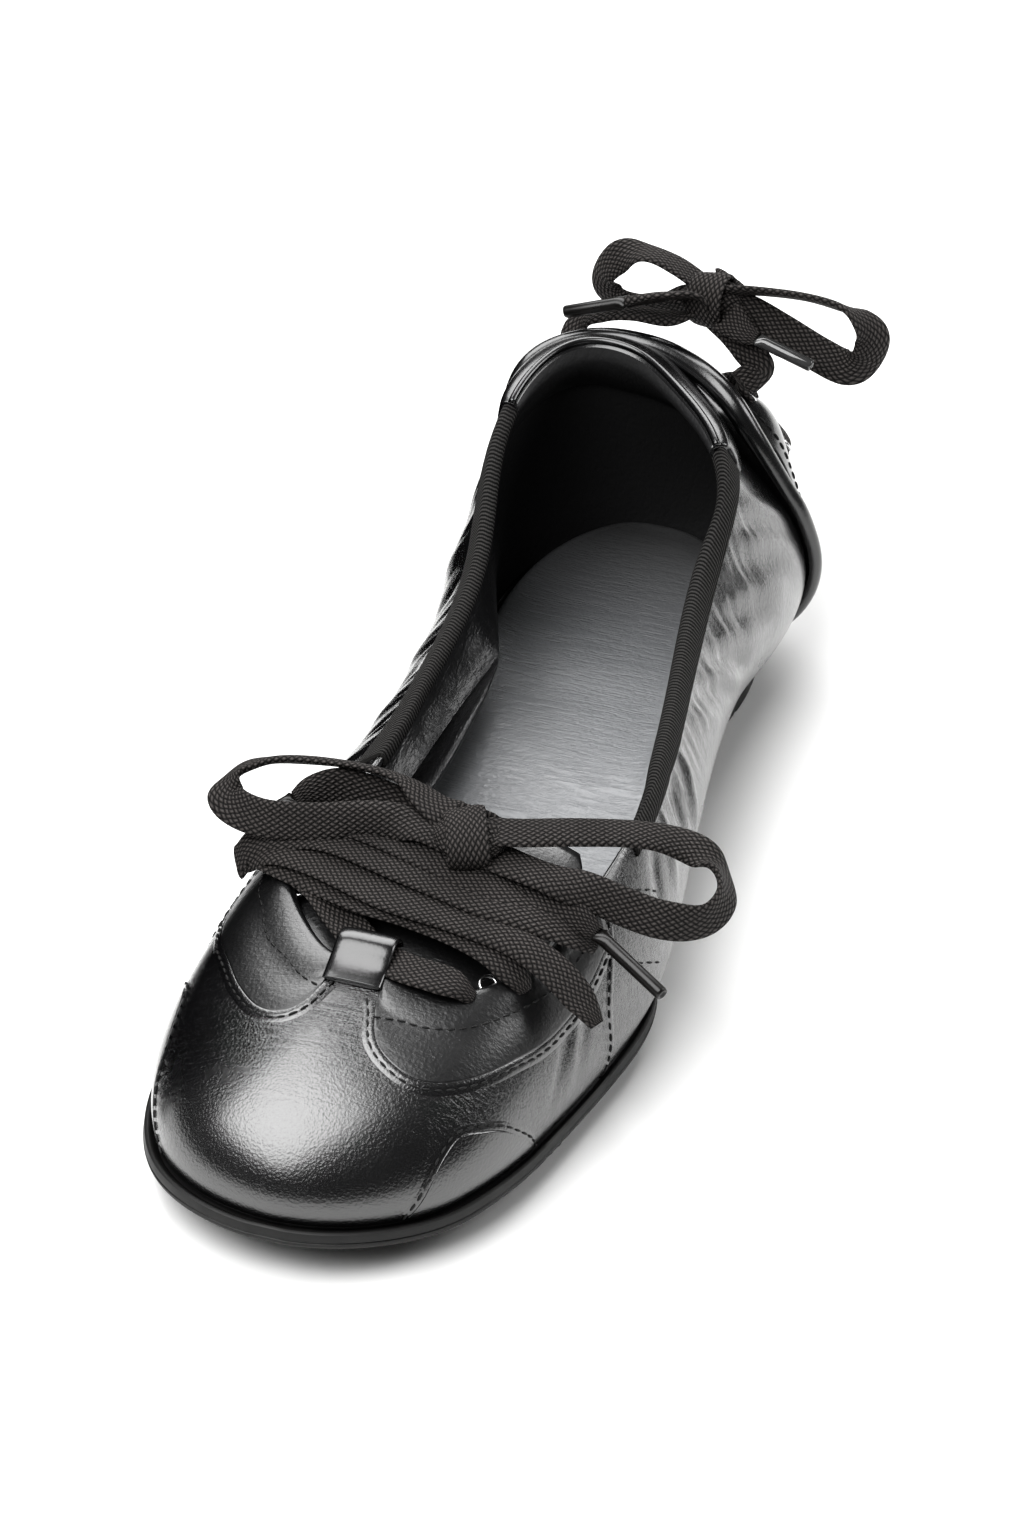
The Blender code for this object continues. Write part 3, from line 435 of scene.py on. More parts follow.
class Graph:
    """One material and its nodes."""

    def __init__(self, name, **fixed):
        self.material = bpy.data.materials.new(name)
        self.material.use_nodes = True
        self.tree = self.material.node_tree
        self.shader = self.tree.nodes["Principled BSDF"]
        for socket, value in fixed.items():
            self.shader.inputs[socket.replace("_", " ")].default_value = value

    def node(self, kind, settings, *inputs, output=0, **named):
        """Adds a node, sets it up, feeds its sockets and returns one of its outputs."""
        made = self.tree.nodes.new(kind)
        for key, value in settings.items():
            setattr(made, key, value)
        pairs = list(enumerate(inputs)) + [(key.replace("_", " "), value) for key, value in named.items()]
        for key, value in pairs:
            if isinstance(value, Socket):
                self.tree.links.new(value.socket, made.inputs[key])
            else:
                made.inputs[key].default_value = value
        return Socket(self, made.outputs[output])

    def where(self):
        """Object coordinates."""
        return self.node("ShaderNodeTexCoord", {}, output="Object")

    def uv(self):
        """Both numbers of the piece's own UV map, in metres."""
        split = self.node("ShaderNodeSeparateXYZ", {}, self.node("ShaderNodeUVMap", {"uv_map": "UVMap"}))
        return split, Socket(self, split.socket.node.outputs[1])

    def noise(self, at, scale, detail=3.0, rough=0.5):
        return self.node("ShaderNodeTexNoise", {}, Vector=at, Scale=scale, Detail=detail, Roughness=rough)

    def cells(self, at, scale):
        settings = {"feature": "SMOOTH_F1"}
        return self.node("ShaderNodeTexVoronoi", settings, Vector=at, Scale=scale, Smoothness=0.35)

    def stretch(self, at, scale, turn):
        return self.node("ShaderNodeMapping", {}, Vector=at, Scale=scale, Rotation=turn)

    def blend(self, share, first, second):
        """A colour between two colours."""
        made = self.tree.nodes.new("ShaderNodeMix")
        made.data_type = "RGBA"
        self.tree.links.new(share.socket, made.inputs["Factor"])
        for socket, colour in (("A", first), ("B", second)):
            found = [s for s in made.inputs if s.name == socket and s.type == "RGBA"][0]
            if isinstance(colour, Socket):
                self.tree.links.new(colour.socket, found)
            else:
                found.default_value = (*colour, 1.0)
        return Socket(self, [s for s in made.outputs if s.type == "RGBA"][0])

    def feed(self, **values):
        """Links values into the Principled BSDF."""
        for socket, value in values.items():
            self.tree.links.new(value.socket, self.shader.inputs[socket.replace("_", " ")])

    def bump(self, *layers):
        """Stacks bump layers of (height, how high in metres) into the normal."""
        normal = None
        for height, distance in layers:
            named = {"Height": height, "Distance": distance, "Strength": 1.0}
            if normal is not None:
                named["Normal"] = normal
            normal = self.node("ShaderNodeBump", {}, **named)
        self.feed(Normal=normal)


# %% [markdown]
# Leather
#
# The upper is smooth black leather with a polished finish: almost no colour of its own, a fine pebble
# grain of about half a millimetre, and hair-thin wrinkles. The look comes from what it reflects, so the
# grain is a bump, and the gloss varies a little over the skin. The same function makes the softer lining
# and insole with other numbers. Deep in the heel both get a painted shade: their colour darkens there to
# stand in for the heel's shadow, and they are also duller.

# %% Leather materials
HEEL_PAINTED_SHADE = (-109 * MM, 34 * MM)  # where the painted shade of the heel's inside starts to lighten, and over what length
HEEL_DULL = 0.5  # added roughness there
ACROSS_THE_FOOT = (330.0, 38.0, 150.0)  # wrinkles a metre
ALONG_THE_FOOT = (60.0, 260.0, 120.0)
WRINKLE_SETS = ((0.45, 1.0), (-0.35, 1.7))  # turn, and how many times finer
WRINKLE_EDGE = 0.05  # half width of a wrinkle, in the noise's own height
FINER_GRAIN = 2.3  # how many times finer the second grain is


def share_of_way(along, span):
    """0 at the start of a span of that coordinate, 1 at its end."""
    start, length = span
    return (along * (1 / length) - start / length).math("MAXIMUM", 0.0).math("MINIMUM", 1.0)


def leather(name, dark, light, gloss, grain, grain_height, wrinkle_height, wrinkle_scale, coat=0.0,
            shine=0.5, worn=False, heel=None):
    """Grained leather: two tones, a range of roughness, grains a metre, heights of grain and wrinkles."""
    graph = Graph(name, Coat_Weight=coat, Coat_Roughness=0.24, Coat_IOR=1.6, Specular_IOR_Level=shine)
    at = graph.where()
    broad = graph.noise(at, 45.0, 4.0, 0.6)
    fine = graph.cells(at, grain)
    finer = graph.cells(at, grain * FINER_GRAIN)
    lines = []
    for turn, more in WRINKLE_SETS:
        stretched = graph.stretch(at, tuple(more * s for s in wrinkle_scale), (0.0, 0.0, turn))
        away = (graph.noise(stretched, 1.0, 4.0, 0.6) - 0.5).math("ABSOLUTE")
        lines.append(away.math("MINIMUM", WRINKLE_EDGE) * (1 / WRINKLE_EDGE))
    wrinkle = lines[0] * 0.6 + lines[1] * 0.4
    if worn:
        mask = graph.node("ShaderNodeAttribute", {"attribute_name": "worn"}, output="Fac")
        wrinkle = wrinkle * mask
    colour = graph.blend(broad, dark, light)
    rough = broad * (gloss[1] - gloss[0]) + gloss[0]
    # Painted shade: the colour darkens towards the heel's inside, standing in for the shadow there; the added
    # roughness is real.
    if heel is not None:
        forward = share_of_way(graph.node("ShaderNodeSeparateXYZ", {}, at), HEEL_PAINTED_SHADE)
        colour = graph.blend(forward, heel, colour)
        rough = rough + (1 - forward) * HEEL_DULL
    graph.feed(Base_Color=colour, Roughness=rough)
    graph.bump((wrinkle, wrinkle_height), (fine * 0.7 + finer * 0.3, grain_height))
    return graph.material


VAMP_LEATHER = leather(
    "vamp leather", (0.0022, 0.0022, 0.0026), (0.0042, 0.0042, 0.0046), (0.20, 0.32), 1600.0,
    0.00010, 0.00020, ACROSS_THE_FOOT, coat=1.0, shine=0.9, worn=True)
PANEL_LEATHER = leather(
    "panel leather", (0.0026, 0.0026, 0.0030), (0.0050, 0.0050, 0.0054), (0.30, 0.44), 1150.0,
    0.000075, 0.000025, ACROSS_THE_FOOT, coat=0.5, shine=0.9)
COLLAR_LEATHER = leather(
    "collar leather", (0.0022, 0.0022, 0.0026), (0.0042, 0.0042, 0.0046), (0.18, 0.30), 1500.0,
    0.00002, 0.000012, ALONG_THE_FOOT, coat=0.6, shine=0.7)
# The lining's and insole's heel colour is a painted shade, dark where the heel's inside lies in shadow.
LINING_LEATHER = leather(
    "lining leather", (0.0120, 0.0120, 0.0130), (0.0240, 0.0240, 0.0255), (0.28, 0.42), 900.0,
    0.00008, 0.00008, ALONG_THE_FOOT, shine=0.6, heel=(0.0045, 0.0045, 0.0050))
INSOLE_LEATHER = leather(
    "insole leather", (0.1520, 0.1570, 0.1640), (0.2180, 0.2240, 0.2330), (0.30, 0.42), 850.0,
    0.00009, 0.00010, ACROSS_THE_FOOT, shine=0.8, heel=(0.0060, 0.0060, 0.0066))
print("leathers made:", len(bpy.data.materials))

# %% [markdown]
# Woven and moulded materials
#
# The topline is bound with a dull elastic tape that has fine ribs across it. The lace is a flat braid of
# waxed cotton: two families of yarn cross it on the slant and pass over and under each other. The tops of
# the yarns are painted lighter and the gaps between them darker, a painted sheen and painted shade that
# leave small bright flecks. Both follow the piece's own UV map, measured in metres along and across.
# Rubber, steel, film and thread are plainer.

# %% Tape, lace, rubber, metal and thread materials
TAU = 2 * math.pi
TAPE_RIB = 1.0 * MM
TAPE_CHEVRON = 2.4 * MM
TAPE_THREAD = 0.5 * MM
BRAID_STEP = 1.75 * MM
BRAID_SLANT = 1.5


def tape_material():
    """Elastic tape: ribs across it, each bent into a shallow chevron."""
    graph = Graph("elastic tape", Specular_IOR_Level=0.15)
    along, across = graph.uv()
    chevron = (across * (1 / TAPE_CHEVRON)).math("PINGPONG", 1.0) * 0.55
    rib = ((along * (1 / TAPE_RIB) + chevron) * TAU).math("SINE") * 0.5 + 0.5
    thread = ((across * (1 / TAPE_THREAD)) * TAU).math("SINE") * 0.5 + 0.5
    weave = rib * 0.75 + thread * rib * 0.25
    graph.feed(Base_Color=graph.blend(weave, (0.0025, 0.0025, 0.0025), (0.0640, 0.0620, 0.0600)),
               Roughness=0.9 - weave * 0.2)
    graph.bump((weave, 0.00030))
    return graph.material


def lace_material():
    """Waxed cotton braid: rhombic cells where one slanting yarn or the other lies on top."""
    graph = Graph("waxed cotton", Specular_IOR_Level=0.3)
    along, across = graph.uv()
    a = along * (1 / BRAID_STEP) + across * (BRAID_SLANT / BRAID_STEP)
    b = along * (1 / BRAID_STEP) - across * (BRAID_SLANT / BRAID_STEP)
    fa, fb = a.math("FRACT"), b.math("FRACT")
    parity = ((a.math("FLOOR") + b.math("FLOOR")) * 0.5).math("FRACT") * 2.0
    hump_a = (fa * math.pi).math("SINE")
    hump_b = (fb * math.pi).math("SINE")
    one = hump_a**0.5 * hump_b**1.6
    other = hump_b**0.5 * hump_a**1.6
    braid = one * parity + other * (1 - parity)
    fuzz = graph.noise(graph.where(), 2600.0, 2.0)
    wear = graph.noise(graph.where(), 90.0, 3.0)
    # The colour follows the braid's relief: the yarns' tops are a painted sheen, the gaps between them a
    # painted shade; the wear and fuzz noise vary the tone.
    tone = braid * (wear * 0.7 + 0.55) + fuzz * 0.15 - 0.1
    graph.feed(
        Base_Color=graph.blend(tone, (0.0030, 0.0027, 0.0026), (0.0950, 0.0850, 0.0810)),
        Roughness=0.82 - braid * 0.28,
    )
    graph.bump((braid, 0.00042), (fuzz, 0.00008))
    return graph.material


def rubber_material():
    """Moulded rubber: matt black with a faint mottle."""
    graph = Graph("sole rubber")
    at = graph.where()
    mottle = graph.noise(at, 220.0, 5.0)
    dust = graph.noise(at, 28.0, 3.0)
    graph.feed(Base_Color=graph.blend(dust, (0.0030, 0.0030, 0.0030), (0.0065, 0.0063, 0.0060)),
               Roughness=mottle * 0.25 + 0.40)
    graph.bump((mottle, 0.00006))
    return graph.material


def plain_material(name, dark, light, rough, metal=0.0, **fixed):
    """A nearly even finish with a slight change of tone and gloss."""
    graph = Graph(name, Metallic=metal, **fixed)
    change = graph.noise(graph.where(), 320.0, 4.0)
    graph.feed(Base_Color=graph.blend(change, dark, light), Roughness=change * 0.16 + (rough - 0.08))
    graph.bump((change, 0.00002))
    return graph.material


TAPE = tape_material()
LACE = lace_material()
RUBBER = rubber_material()
STEEL = plain_material("eyelet steel", (0.55, 0.55, 0.56), (0.72, 0.72, 0.72), 0.22, 1.0)
FILM_DARK = plain_material("dark film", (0.005, 0.0045, 0.0042), (0.010, 0.009, 0.0085), 0.30)
FILM_CLEAR = plain_material("clear film", (0.030, 0.030, 0.030), (0.075, 0.075, 0.075), 0.14,
                            Coat_Weight=1.0)
THREAD = plain_material("black thread", (0.0015, 0.0015, 0.0015), (0.005, 0.005, 0.005), 0.6)
print("materials made:", len(bpy.data.materials))

# %% [markdown]
# Camera
#
# The camera stands where the photograph's did, worked out from the shoe's estimated length, and turns to
# frame the shoe. A camera's place fixes the perspective, and turning it or zooming in changes only the
# framing.

# %% Camera
CAMERA_PLACE = place([(961.2, 324.8, 847.7)])[0]
CAMERA_AIM = place([(-4.0, 0.5, 33.0)])[0]
CAMERA_LENS = 145.0
SENSOR = 36.0

camera_data = bpy.data.cameras.new("camera")
camera_data.sensor_width = SENSOR
camera_data.lens = CAMERA_LENS
camera = add_object("camera", camera_data)
look_along = Vector(CAMERA_AIM - CAMERA_PLACE)
camera.rotation_euler = look_along.to_track_quat("-Z", "Y").to_euler()
camera.location = CAMERA_PLACE
bpy.context.scene.camera = camera
print("camera at", [round(c, 3) for c in camera.location])

# %% [markdown]
# Laces
#
# The lace is a flat braid, 8 mm wide. It is a ribbon swept along a route whose points were chosen
# from the photograph. The last word of a point says where the lace's broad side faces there, because a
# bow's loop turns from its broad side to its edge and back. Each half of a bow is one cord: its loop, its
# way back through the knot and its loose end. A real lace is never quite flat, so its section cups a
# little, now up and now down.

# %% Ribbon sweep
LACE_WIDTH = 8.0 * MM
LACE_THICKNESS = 1.5 * MM
LACE_STEPS = 12
SECTION_POINTS = 20
LACE_SQUARE = 5  # how square the edges of its section are
LACE_CROWN = 0.10  # how much thicker the section is in the middle
LACE_CUPS = (11 * MM, 4.5 * MM)  # how fast the cupping comes and goes, over a radian
ROLLED_WIDTH = 0.62  # share of its width that a lace loses where it is rolled up at its end
ROLLED_THICKNESS = 0.5  # share of its thickness that it gains there
FACES = {
    "up": (0.10, 0.0, 1.0),
    "toe": (0.75, 0.20, 0.55),  # to the toe and up, where the photograph's camera stands
    "edge": (-0.62, 0.0, 0.75),  # up and to the heel: the camera sees the lace's edge
    "steep": (-0.15, 0.0, 1.0),
    "outer": (0.35, 0.90, 0.25),
    "inner": (0.45, -0.80, 0.30),
    "fold": (0.80, 0.50, 0.10),
    "lap": (0.10, 0.70, 0.70),
    "cheek": (0.70, -0.60, 0.35),
    "under": (0.90, 0.0, -0.35),
}


def ribbon_section(width, thickness):
    """A flat section with round edges: offsets across and out, the upper side, then the under side back."""
    half = SECTION_POINTS // 2
    across = -np.cos(np.linspace(0.08, math.pi - 0.08, half))
    out = np.sqrt(1 - np.abs(across) ** LACE_SQUARE) * (1 + LACE_CROWN * (1 - across**2))
    upper = np.column_stack((across * width / 2, out * thickness / 2))
    return np.concatenate((upper, upper[::-1] * (1, -1)))


def sweep_ribbon(name, line, face, width, thickness, look, stands_for=(), cup=0.0, taper=0.0):
    """A flat strip along a line, its broad side to face, rolled up over its last stretch; UVs in metres."""
    along = unit(np.gradient(line, axis=0))
    side = unit(np.cross(along, face))
    out = np.cross(side, along)
    section = ribbon_section(width, thickness)
    run = run_along(line)
    bowed = (section[None, :, 0] / width * 2) ** 2 - 0.35
    wander = np.sin(run / LACE_CUPS[0] + len(name)) + 0.5 * np.sin(run / LACE_CUPS[1] + 2.0)
    rolled = np.zeros((len(run), 1))
    if taper:
        rolled = np.clip((run - run[-1] + taper) / taper, 0, 1)[:, None] ** 1.5
    lift = section[None, :, 1] * (1 + ROLLED_THICKNESS * rolled)
    lift = lift + cup * bowed * wander[:, None] * (1 - rolled)
    across = section[None, :, 0] * (1 - ROLLED_WIDTH * rolled)
    sections = line[:, None] + side[:, None] * across[..., None] + out[:, None] * lift[..., None]
    uv = np.stack(np.broadcast_arrays(run[:, None], section[None, :, 0]), axis=-1)
    return strip(name, sections, look, stands_for, uv)


def lace(name, line, face, share=1.0, stands_for=(), cup=0.0, taper=0.0):
    """A length of lace along a line, at a share of its full width."""
    return sweep_ribbon(name, line, face, LACE_WIDTH * share, LACE_THICKNESS, LACE,
                        stands_for, cup, taper)


def lace_line(route):
    """The line of a lace route in metres and the way its broad side faces."""
    rows = smooth_line([(x, y, z, *FACES[face]) for x, y, z, face in route], LACE_STEPS)
    return place(rows[:, :3]), rows[:, 3:]


# %% Bars of the front lacing
FRONT_BARS = [
    [(49, -36, 42.5, "up"), (53, -29.5, 44.6, "up"), (58.5, -20, 44.6, "up"), (65, -12.5, 43.2, "up"),
     (71.5, -4.5, 42.4, "up"), (75.2, 4, 42.8, "up"), (76.6, 10.5, 43.4, "up"), (76.8, 16, 42.8, "up"),
     (76.4, 19.0, 39.8, "up")],
    [(52, -33, 43.5, "up"), (57, -22, 45.4, "up"), (61.5, -9, 46.0, "up"), (62.6, 2, 45.9, "up"),
     (64.5, 12, 45.6, "up"), (67, 21, 44.4, "up"), (68.8, 26, 41.6, "up"), (69.6, 28, 38.6, "up")],
    [(51, -40, 39.4, "inner"), (51.0, -37.6, 42.6, "inner"), (52.3, -31, 46.0, "up"),
     (54.6, -22.6, 47.4, "up"), (60.5, -4.5, 47.6, "up"), (62.4, 10.5, 47.4, "up"),
     (63.8, 24, 46.2, "up"), (66.2, 33, 42.8, "up"), (68.4, 39.5, 38.0, "outer"),
     (70.2, 43.4, 34.4, "outer")],
    [(50.8, -40.4, 40.2, "inner"), (50.0, -37.6, 44.0, "inner"), (49.4, -30.8, 47.4, "up"),
     (49.2, -20.9, 49.4, "up"), (53.6, -3.1, 49.6, "up"), (57.6, 16, 48.8, "up"), (57, 30, 46.2, "up"),
     (55, 38, 41, "up")],
    [(47.0, -38.0, 43.6, "inner"), (44.6, -30.0, 48.2, "up"), (44.4, -20.0, 50.6, "up"),
     (47.6, -6.0, 51.0, "up"), (51.6, 8.0, 50.2, "up"), (54.6, 20.0, 49.0, "up"),
     (54.0, 30.0, 46.0, "up")],
]


def joined(name, made, stands_for):
    """One piece from several meshes of the same finish."""
    with bpy.context.temp_override(active_object=made[0], selected_editable_objects=made):
        bpy.ops.object.join()
    made[0].name = name
    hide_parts(*stands_for)
    return made[0]


bars = []
for i, route in enumerate(FRONT_BARS):
    line, face = lace_line(route)
    bars.append(lace(f"front_bar_{i}", line, face, cup=0.5 * MM, taper=7 * MM))
joined("front_lace_bars", bars, ["lace_front_bars"])

# %% Bows: each half is one cord
Half = namedtuple("Half", "name route stands_for")
BOW_HALVES = [
    Half("front_bow_inner", [
        (41.5, 4, 54.6, "toe"), (38.6, -2, 55.2, "steep"), (33.6, -10, 55.6, "edge"),
        (32.0, -23.2, 55.2, "edge"), (33.8, -38.1, 54, "edge"), (38.6, -45, 52.4, "inner"),
        (45, -44.6, 50.6, "toe"), (49, -36.0, 51, "toe"), (48.4, -24.4, 52.4, "toe"),
        (45.4, -12, 53.7, "toe"), (44.4, -2.5, 53.6, "up"), (46, 7, 51.8, "up"), (48.8, 17, 49.9, "up"),
        (51.6, 27, 48.2, "up"), (53.8, 34, 46.6, "toe"), (55.6, 38.7, 45.4, "toe"),
    ], ["lace_front_loop_inner", "lace_front_end_outer"]),
    Half("front_bow_outer", [
        (44, 11, 55.4, "up"), (42.5, 17.5, 55.8, "up"), (38, 29, 55.6, "up"), (33.0, 44.7, 54.4, "up"),
        (34.0, 55.5, 52, "outer"), (41.0, 61.0, 50, "outer"), (48.6, 58.8, 48.6, "fold"),
        (51.5, 50, 49.0, "toe"), (50.0, 36.5, 50.4, "toe"), (48.8, 26, 51.4, "up"),
        (47.4, 16, 52, "up"), (44, 6, 51.4, "up"), (39.5, -4, 50.8, "up"), (36.2, -13, 51.4, "toe"),
        (36.0, -22, 52.4, "toe"), (38.4, -28, 52.4, "toe"), (41.0, -31.4, 51.0, "toe"),
    ], ["lace_front_loop_outer", "lace_front_end_inner"]),
    Half("heel_bow_inner", [
        (-130.0, 4, 74.0, "steep"), (-130.8, -3.6, 78.2, "steep"), (-131.0, -10.6, 80.0, "steep"),
        (-131.0, -17, 77.6, "cheek"), (-131.0, -20.6, 72.2, "cheek"), (-131.0, -18.6, 67.2, "under"),
        (-131.0, -12.6, 65.6, "under"), (-130.8, -5.0, 67.6, "under"), (-129.8, 0.5, 70.2, "toe"),
        (-128.0, 6, 71.4, "toe"), (-124, 11, 71.6, "toe"), (-121.2, 15, 71.0, "toe"),
        (-120.2, 18.4, 70.4, "toe"),
    ], ["lace_heel_loop_inner", "lace_heel_end_outer"]),
    Half("heel_bow_outer", [
        (-129.2, 8, 74.8, "edge"), (-129.0, 14, 76.6, "edge"), (-128.5, 26, 78.0, "edge"),
        (-128.0, 35, 77.4, "edge"), (-127.6, 40.4, 75.2, "lap"), (-127.4, 42.8, 70.8, "fold"),
        (-127.0, 41.6, 65.6, "fold"), (-126.6, 37.4, 62.8, "toe"), (-126.8, 31, 64.6, "toe"),
        (-127.2, 22, 68.6, "toe"), (-127.5, 14, 71.8, "toe"), (-127, 7, 73.4, "toe"),
        (-124.4, 2, 75.6, "edge"), (-122.4, -3, 75.8, "edge"), (-121.6, -8, 74.4, "edge"),
        (-121.2, -12, 73.0, "edge"),
    ], ["lace_heel_loop_outer", "lace_heel_end_inner"]),
]
bows = {}
for half in BOW_HALVES:
    line, face = lace_line(half.route)
    made = lace(half.name, line, face, 1.0, half.stands_for, cup=0.45 * MM, taper=10 * MM)
    bows[half.name] = (made, line)

# %% [markdown]
# Knots and tips
#
# A bow's knot is the lace itself, wrapped once round the two loops. So the knot is a ribbon on an oval
# ring round a small packed core. The tips of the lace are rolled in a stiff film, dark on three of them
# and clear on one.

# %% Knots
Knot = namedtuple("Knot", "name middle half lean stands_for")
KNOTS_TIED = [
    Knot("front_knot", (45, 8, 53.8), (6.2, 4.6, 4.2), 0.35, "lace_front_knot"),
    Knot("heel_knot", (-128.6, 5.8, 72.6), (4.6, 4.4, 5.4), -0.2, "lace_heel_knot"),
]


def knot_wrap(knot):
    """The turn of lace round the knot: a leaning oval ring across the bow that laps over itself."""
    angle = np.linspace(-0.5 * math.pi, 1.7 * math.pi, 72)
    grow = 1 + 0.05 * (angle - angle[0]) / math.pi
    ring = np.column_stack((
        np.sin(angle) * knot.half[0] * grow,
        knot.lean * np.sin(angle) * knot.half[0] + 0.5 * (angle - angle.mean()),
        np.cos(angle) * knot.half[2] * grow,
    ))
    line = place(ring + np.array(knot.middle))
    out = unit(line - place([knot.middle]))
    return lace(knot.name + "_wrap", line, out, 1.1)


def knot_core(knot):
    """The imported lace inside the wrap: a lumpy oval, its UVs in metres round and along it."""
    rows, columns = 22, 36
    t = np.linspace(0.02, math.pi - 0.02, rows)[:, None]
    a = np.linspace(0, TAU, columns, endpoint=False)[None, :]
    lump = 1 + 0.07 * np.sin(3 * a + 1.0) * np.sin(t) ** 2 + 0.05 * np.sin(5 * a + 4 * t)
    size = np.array(knot.half) * (0.93, 1.7, 0.93)
    shape = np.stack((np.sin(t) * np.cos(a) * lump * size[0], np.cos(t) * np.ones_like(a) * size[1],
                      np.sin(t) * np.sin(a) * lump * size[2]), axis=-1)
    uv = np.stack(np.broadcast_arrays(a * 5 * MM, t * 5 * MM), axis=-1)
    points = place(shape.reshape(-1, 3) + np.array(knot.middle)).reshape(rows, columns, 3)
    return strip(knot.name + "_core", points, LACE, uv=uv)


knots = {}
for knot in KNOTS_TIED:
    pair = [knot_wrap(knot), knot_core(knot)]
    knots[knot.name] = joined(knot.name, pair, [knot.stands_for])

# %% Tips of the laces
Tip = namedtuple("Tip", "name start end look")
TIPS = [
    Tip("aglet_front_outer", (55.6, 38.7, 45.4), (65.2, 55.4, 41.6), FILM_DARK),
    Tip("aglet_front_inner", (41.0, -31.4, 51.0), (48.4, -40.2, 46.6), FILM_DARK),
    Tip("aglet_heel_inner", (-121.2, -12, 73.0), (-119.8, -26, 68.2), FILM_DARK),
    Tip("aglet_heel_outer", (-120.2, 18.4, 70.4), (-118.2, 31.6, 67.4), FILM_CLEAR),
]
TIP_RADIUS = 1.5 * MM
TIP_SIDES = 20
TIP_PROFILE = [  # share of the length, share of the radius across and out
    (-0.02, 0.9, 0.30), (0.03, 1.5, 0.62), (0.10, 1.1, 0.92), (0.16, 1.0, 1.0), (0.60, 0.97, 0.97),
    (0.97, 0.95, 0.95), (1.0, 0.85, 0.85), (1.005, 0.6, 0.6), (0.985, 0.45, 0.45),
]


def make_tip(tip):
    """A rolled tip: the flat lace narrows into it, and its end is rounded with a small hollow."""
    start, end = place([tip.start, tip.end])
    along = unit(end - start)
    side = unit(np.cross(along, (0, 0, 1)))
    up = np.cross(side, along)
    angle = np.linspace(0, TAU, TIP_SIDES, endpoint=False)
    rings = []
    for share, wide, thick in TIP_PROFILE:
        ring = side * (np.cos(angle) * wide)[:, None] + up * (np.sin(angle) * thick)[:, None]
        rings.append(start + (end - start) * share + ring * TIP_RADIUS)
    return strip("tip_" + tip.name, np.array(rings), tip.look, [tip.name])


tips = {tip.name: make_tip(tip) for tip in TIPS}

CORD_PARTS = {
    "front_bow_inner": [knots["front_knot"], tips["aglet_front_outer"]],
    "front_bow_outer": [tips["aglet_front_inner"]],
    "heel_bow_inner": [knots["heel_knot"], tips["aglet_heel_outer"]],
    "heel_bow_outer": [tips["aglet_heel_inner"]],
}
for name, parts in CORD_PARTS.items():
    made, line = bows[name]
    run = float(run_along(line)[-1])
    tuple(line[0])
    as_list(parts)
    print(f"{name}: {run / MM:.0f} mm of lace")

# %% [markdown]
# The upper
#
# The shoe's wall is soft leather with a thin lining, two millimetres together, turned over at the
# topline. The outer side carries the folds. The lining lies looser: a long fold stands off it along the
# arch on the inner side. One closed shell holds both skins and the turned edge, so that the wall has a
# real thickness from every side.

# %% Upper
AROUND = 640
OUTER_ROWS = 64
INNER_ROWS = 40
LINING_FOLDS = [
    Fold(0.620, 0.18, 0.950, 0.36, 16.5, 11.0),
    Fold(0.680, 0.16, 0.860, 0.24, 2.5, 4.0),
    Fold(0.700, 0.56, 0.790, 0.60, -1.8, 3.0),
    Fold(0.760, 0.36, 0.800, 0.52, 1.2, 2.6),
    Fold(0.840, 0.30, 0.880, 0.60, 1.2, 3.0),
    Fold(0.180, 0.36, 0.250, 0.42, 1.6, 3.0),
    Fold(0.260, 0.30, 0.300, 0.60, 1.2, 3.0),
]
LINING_SMOOTHED = 0.6  # share of the outer folds that the lining does not follow
GATHER_HEIGHT = 0.09 * MM
RIM = [(-0.25, 0.5), (-0.9, 0.75), (-1.55, 0.5)]  # millimetres out and up, over the turned edge


def gathers(u, v):
    """Fine ripples beside the elastic, which the tape pulls into the leather."""
    run = np.asarray(u) * GIRTH / MM
    ripple = np.sin(run * TAU / 5.3 + 2.0 * np.sin(run / 9.0)) + 0.6 * np.sin(run * TAU / 3.4 + 1.0)
    near_tape = np.exp(-(((np.asarray(v) - 0.70) / 0.10) ** 2))
    sides = np.where((u > 0.10) & (u < 0.30) | (u > 0.72) & (u < 0.91), 1.0, 0.0)
    return GATHER_HEIGHT * ripple * near_tape * sides


def wear(u, v):
    """How wrinkled the leather is: least on the toe, most where the foot bends and beside the elastic."""
    off_toe = np.clip((np.abs(u - AT["toe"]) - 0.03) / 0.10, 0, 1)
    near_throat = np.clip((v - 0.45) / 0.35, 0, 1)
    heel = np.clip((np.minimum(u, 1 - u) - 0.06) / 0.05, 0.25, 1)
    return (0.04 + 0.96 * np.maximum(off_toe, 0.35 * near_throat)) * heel


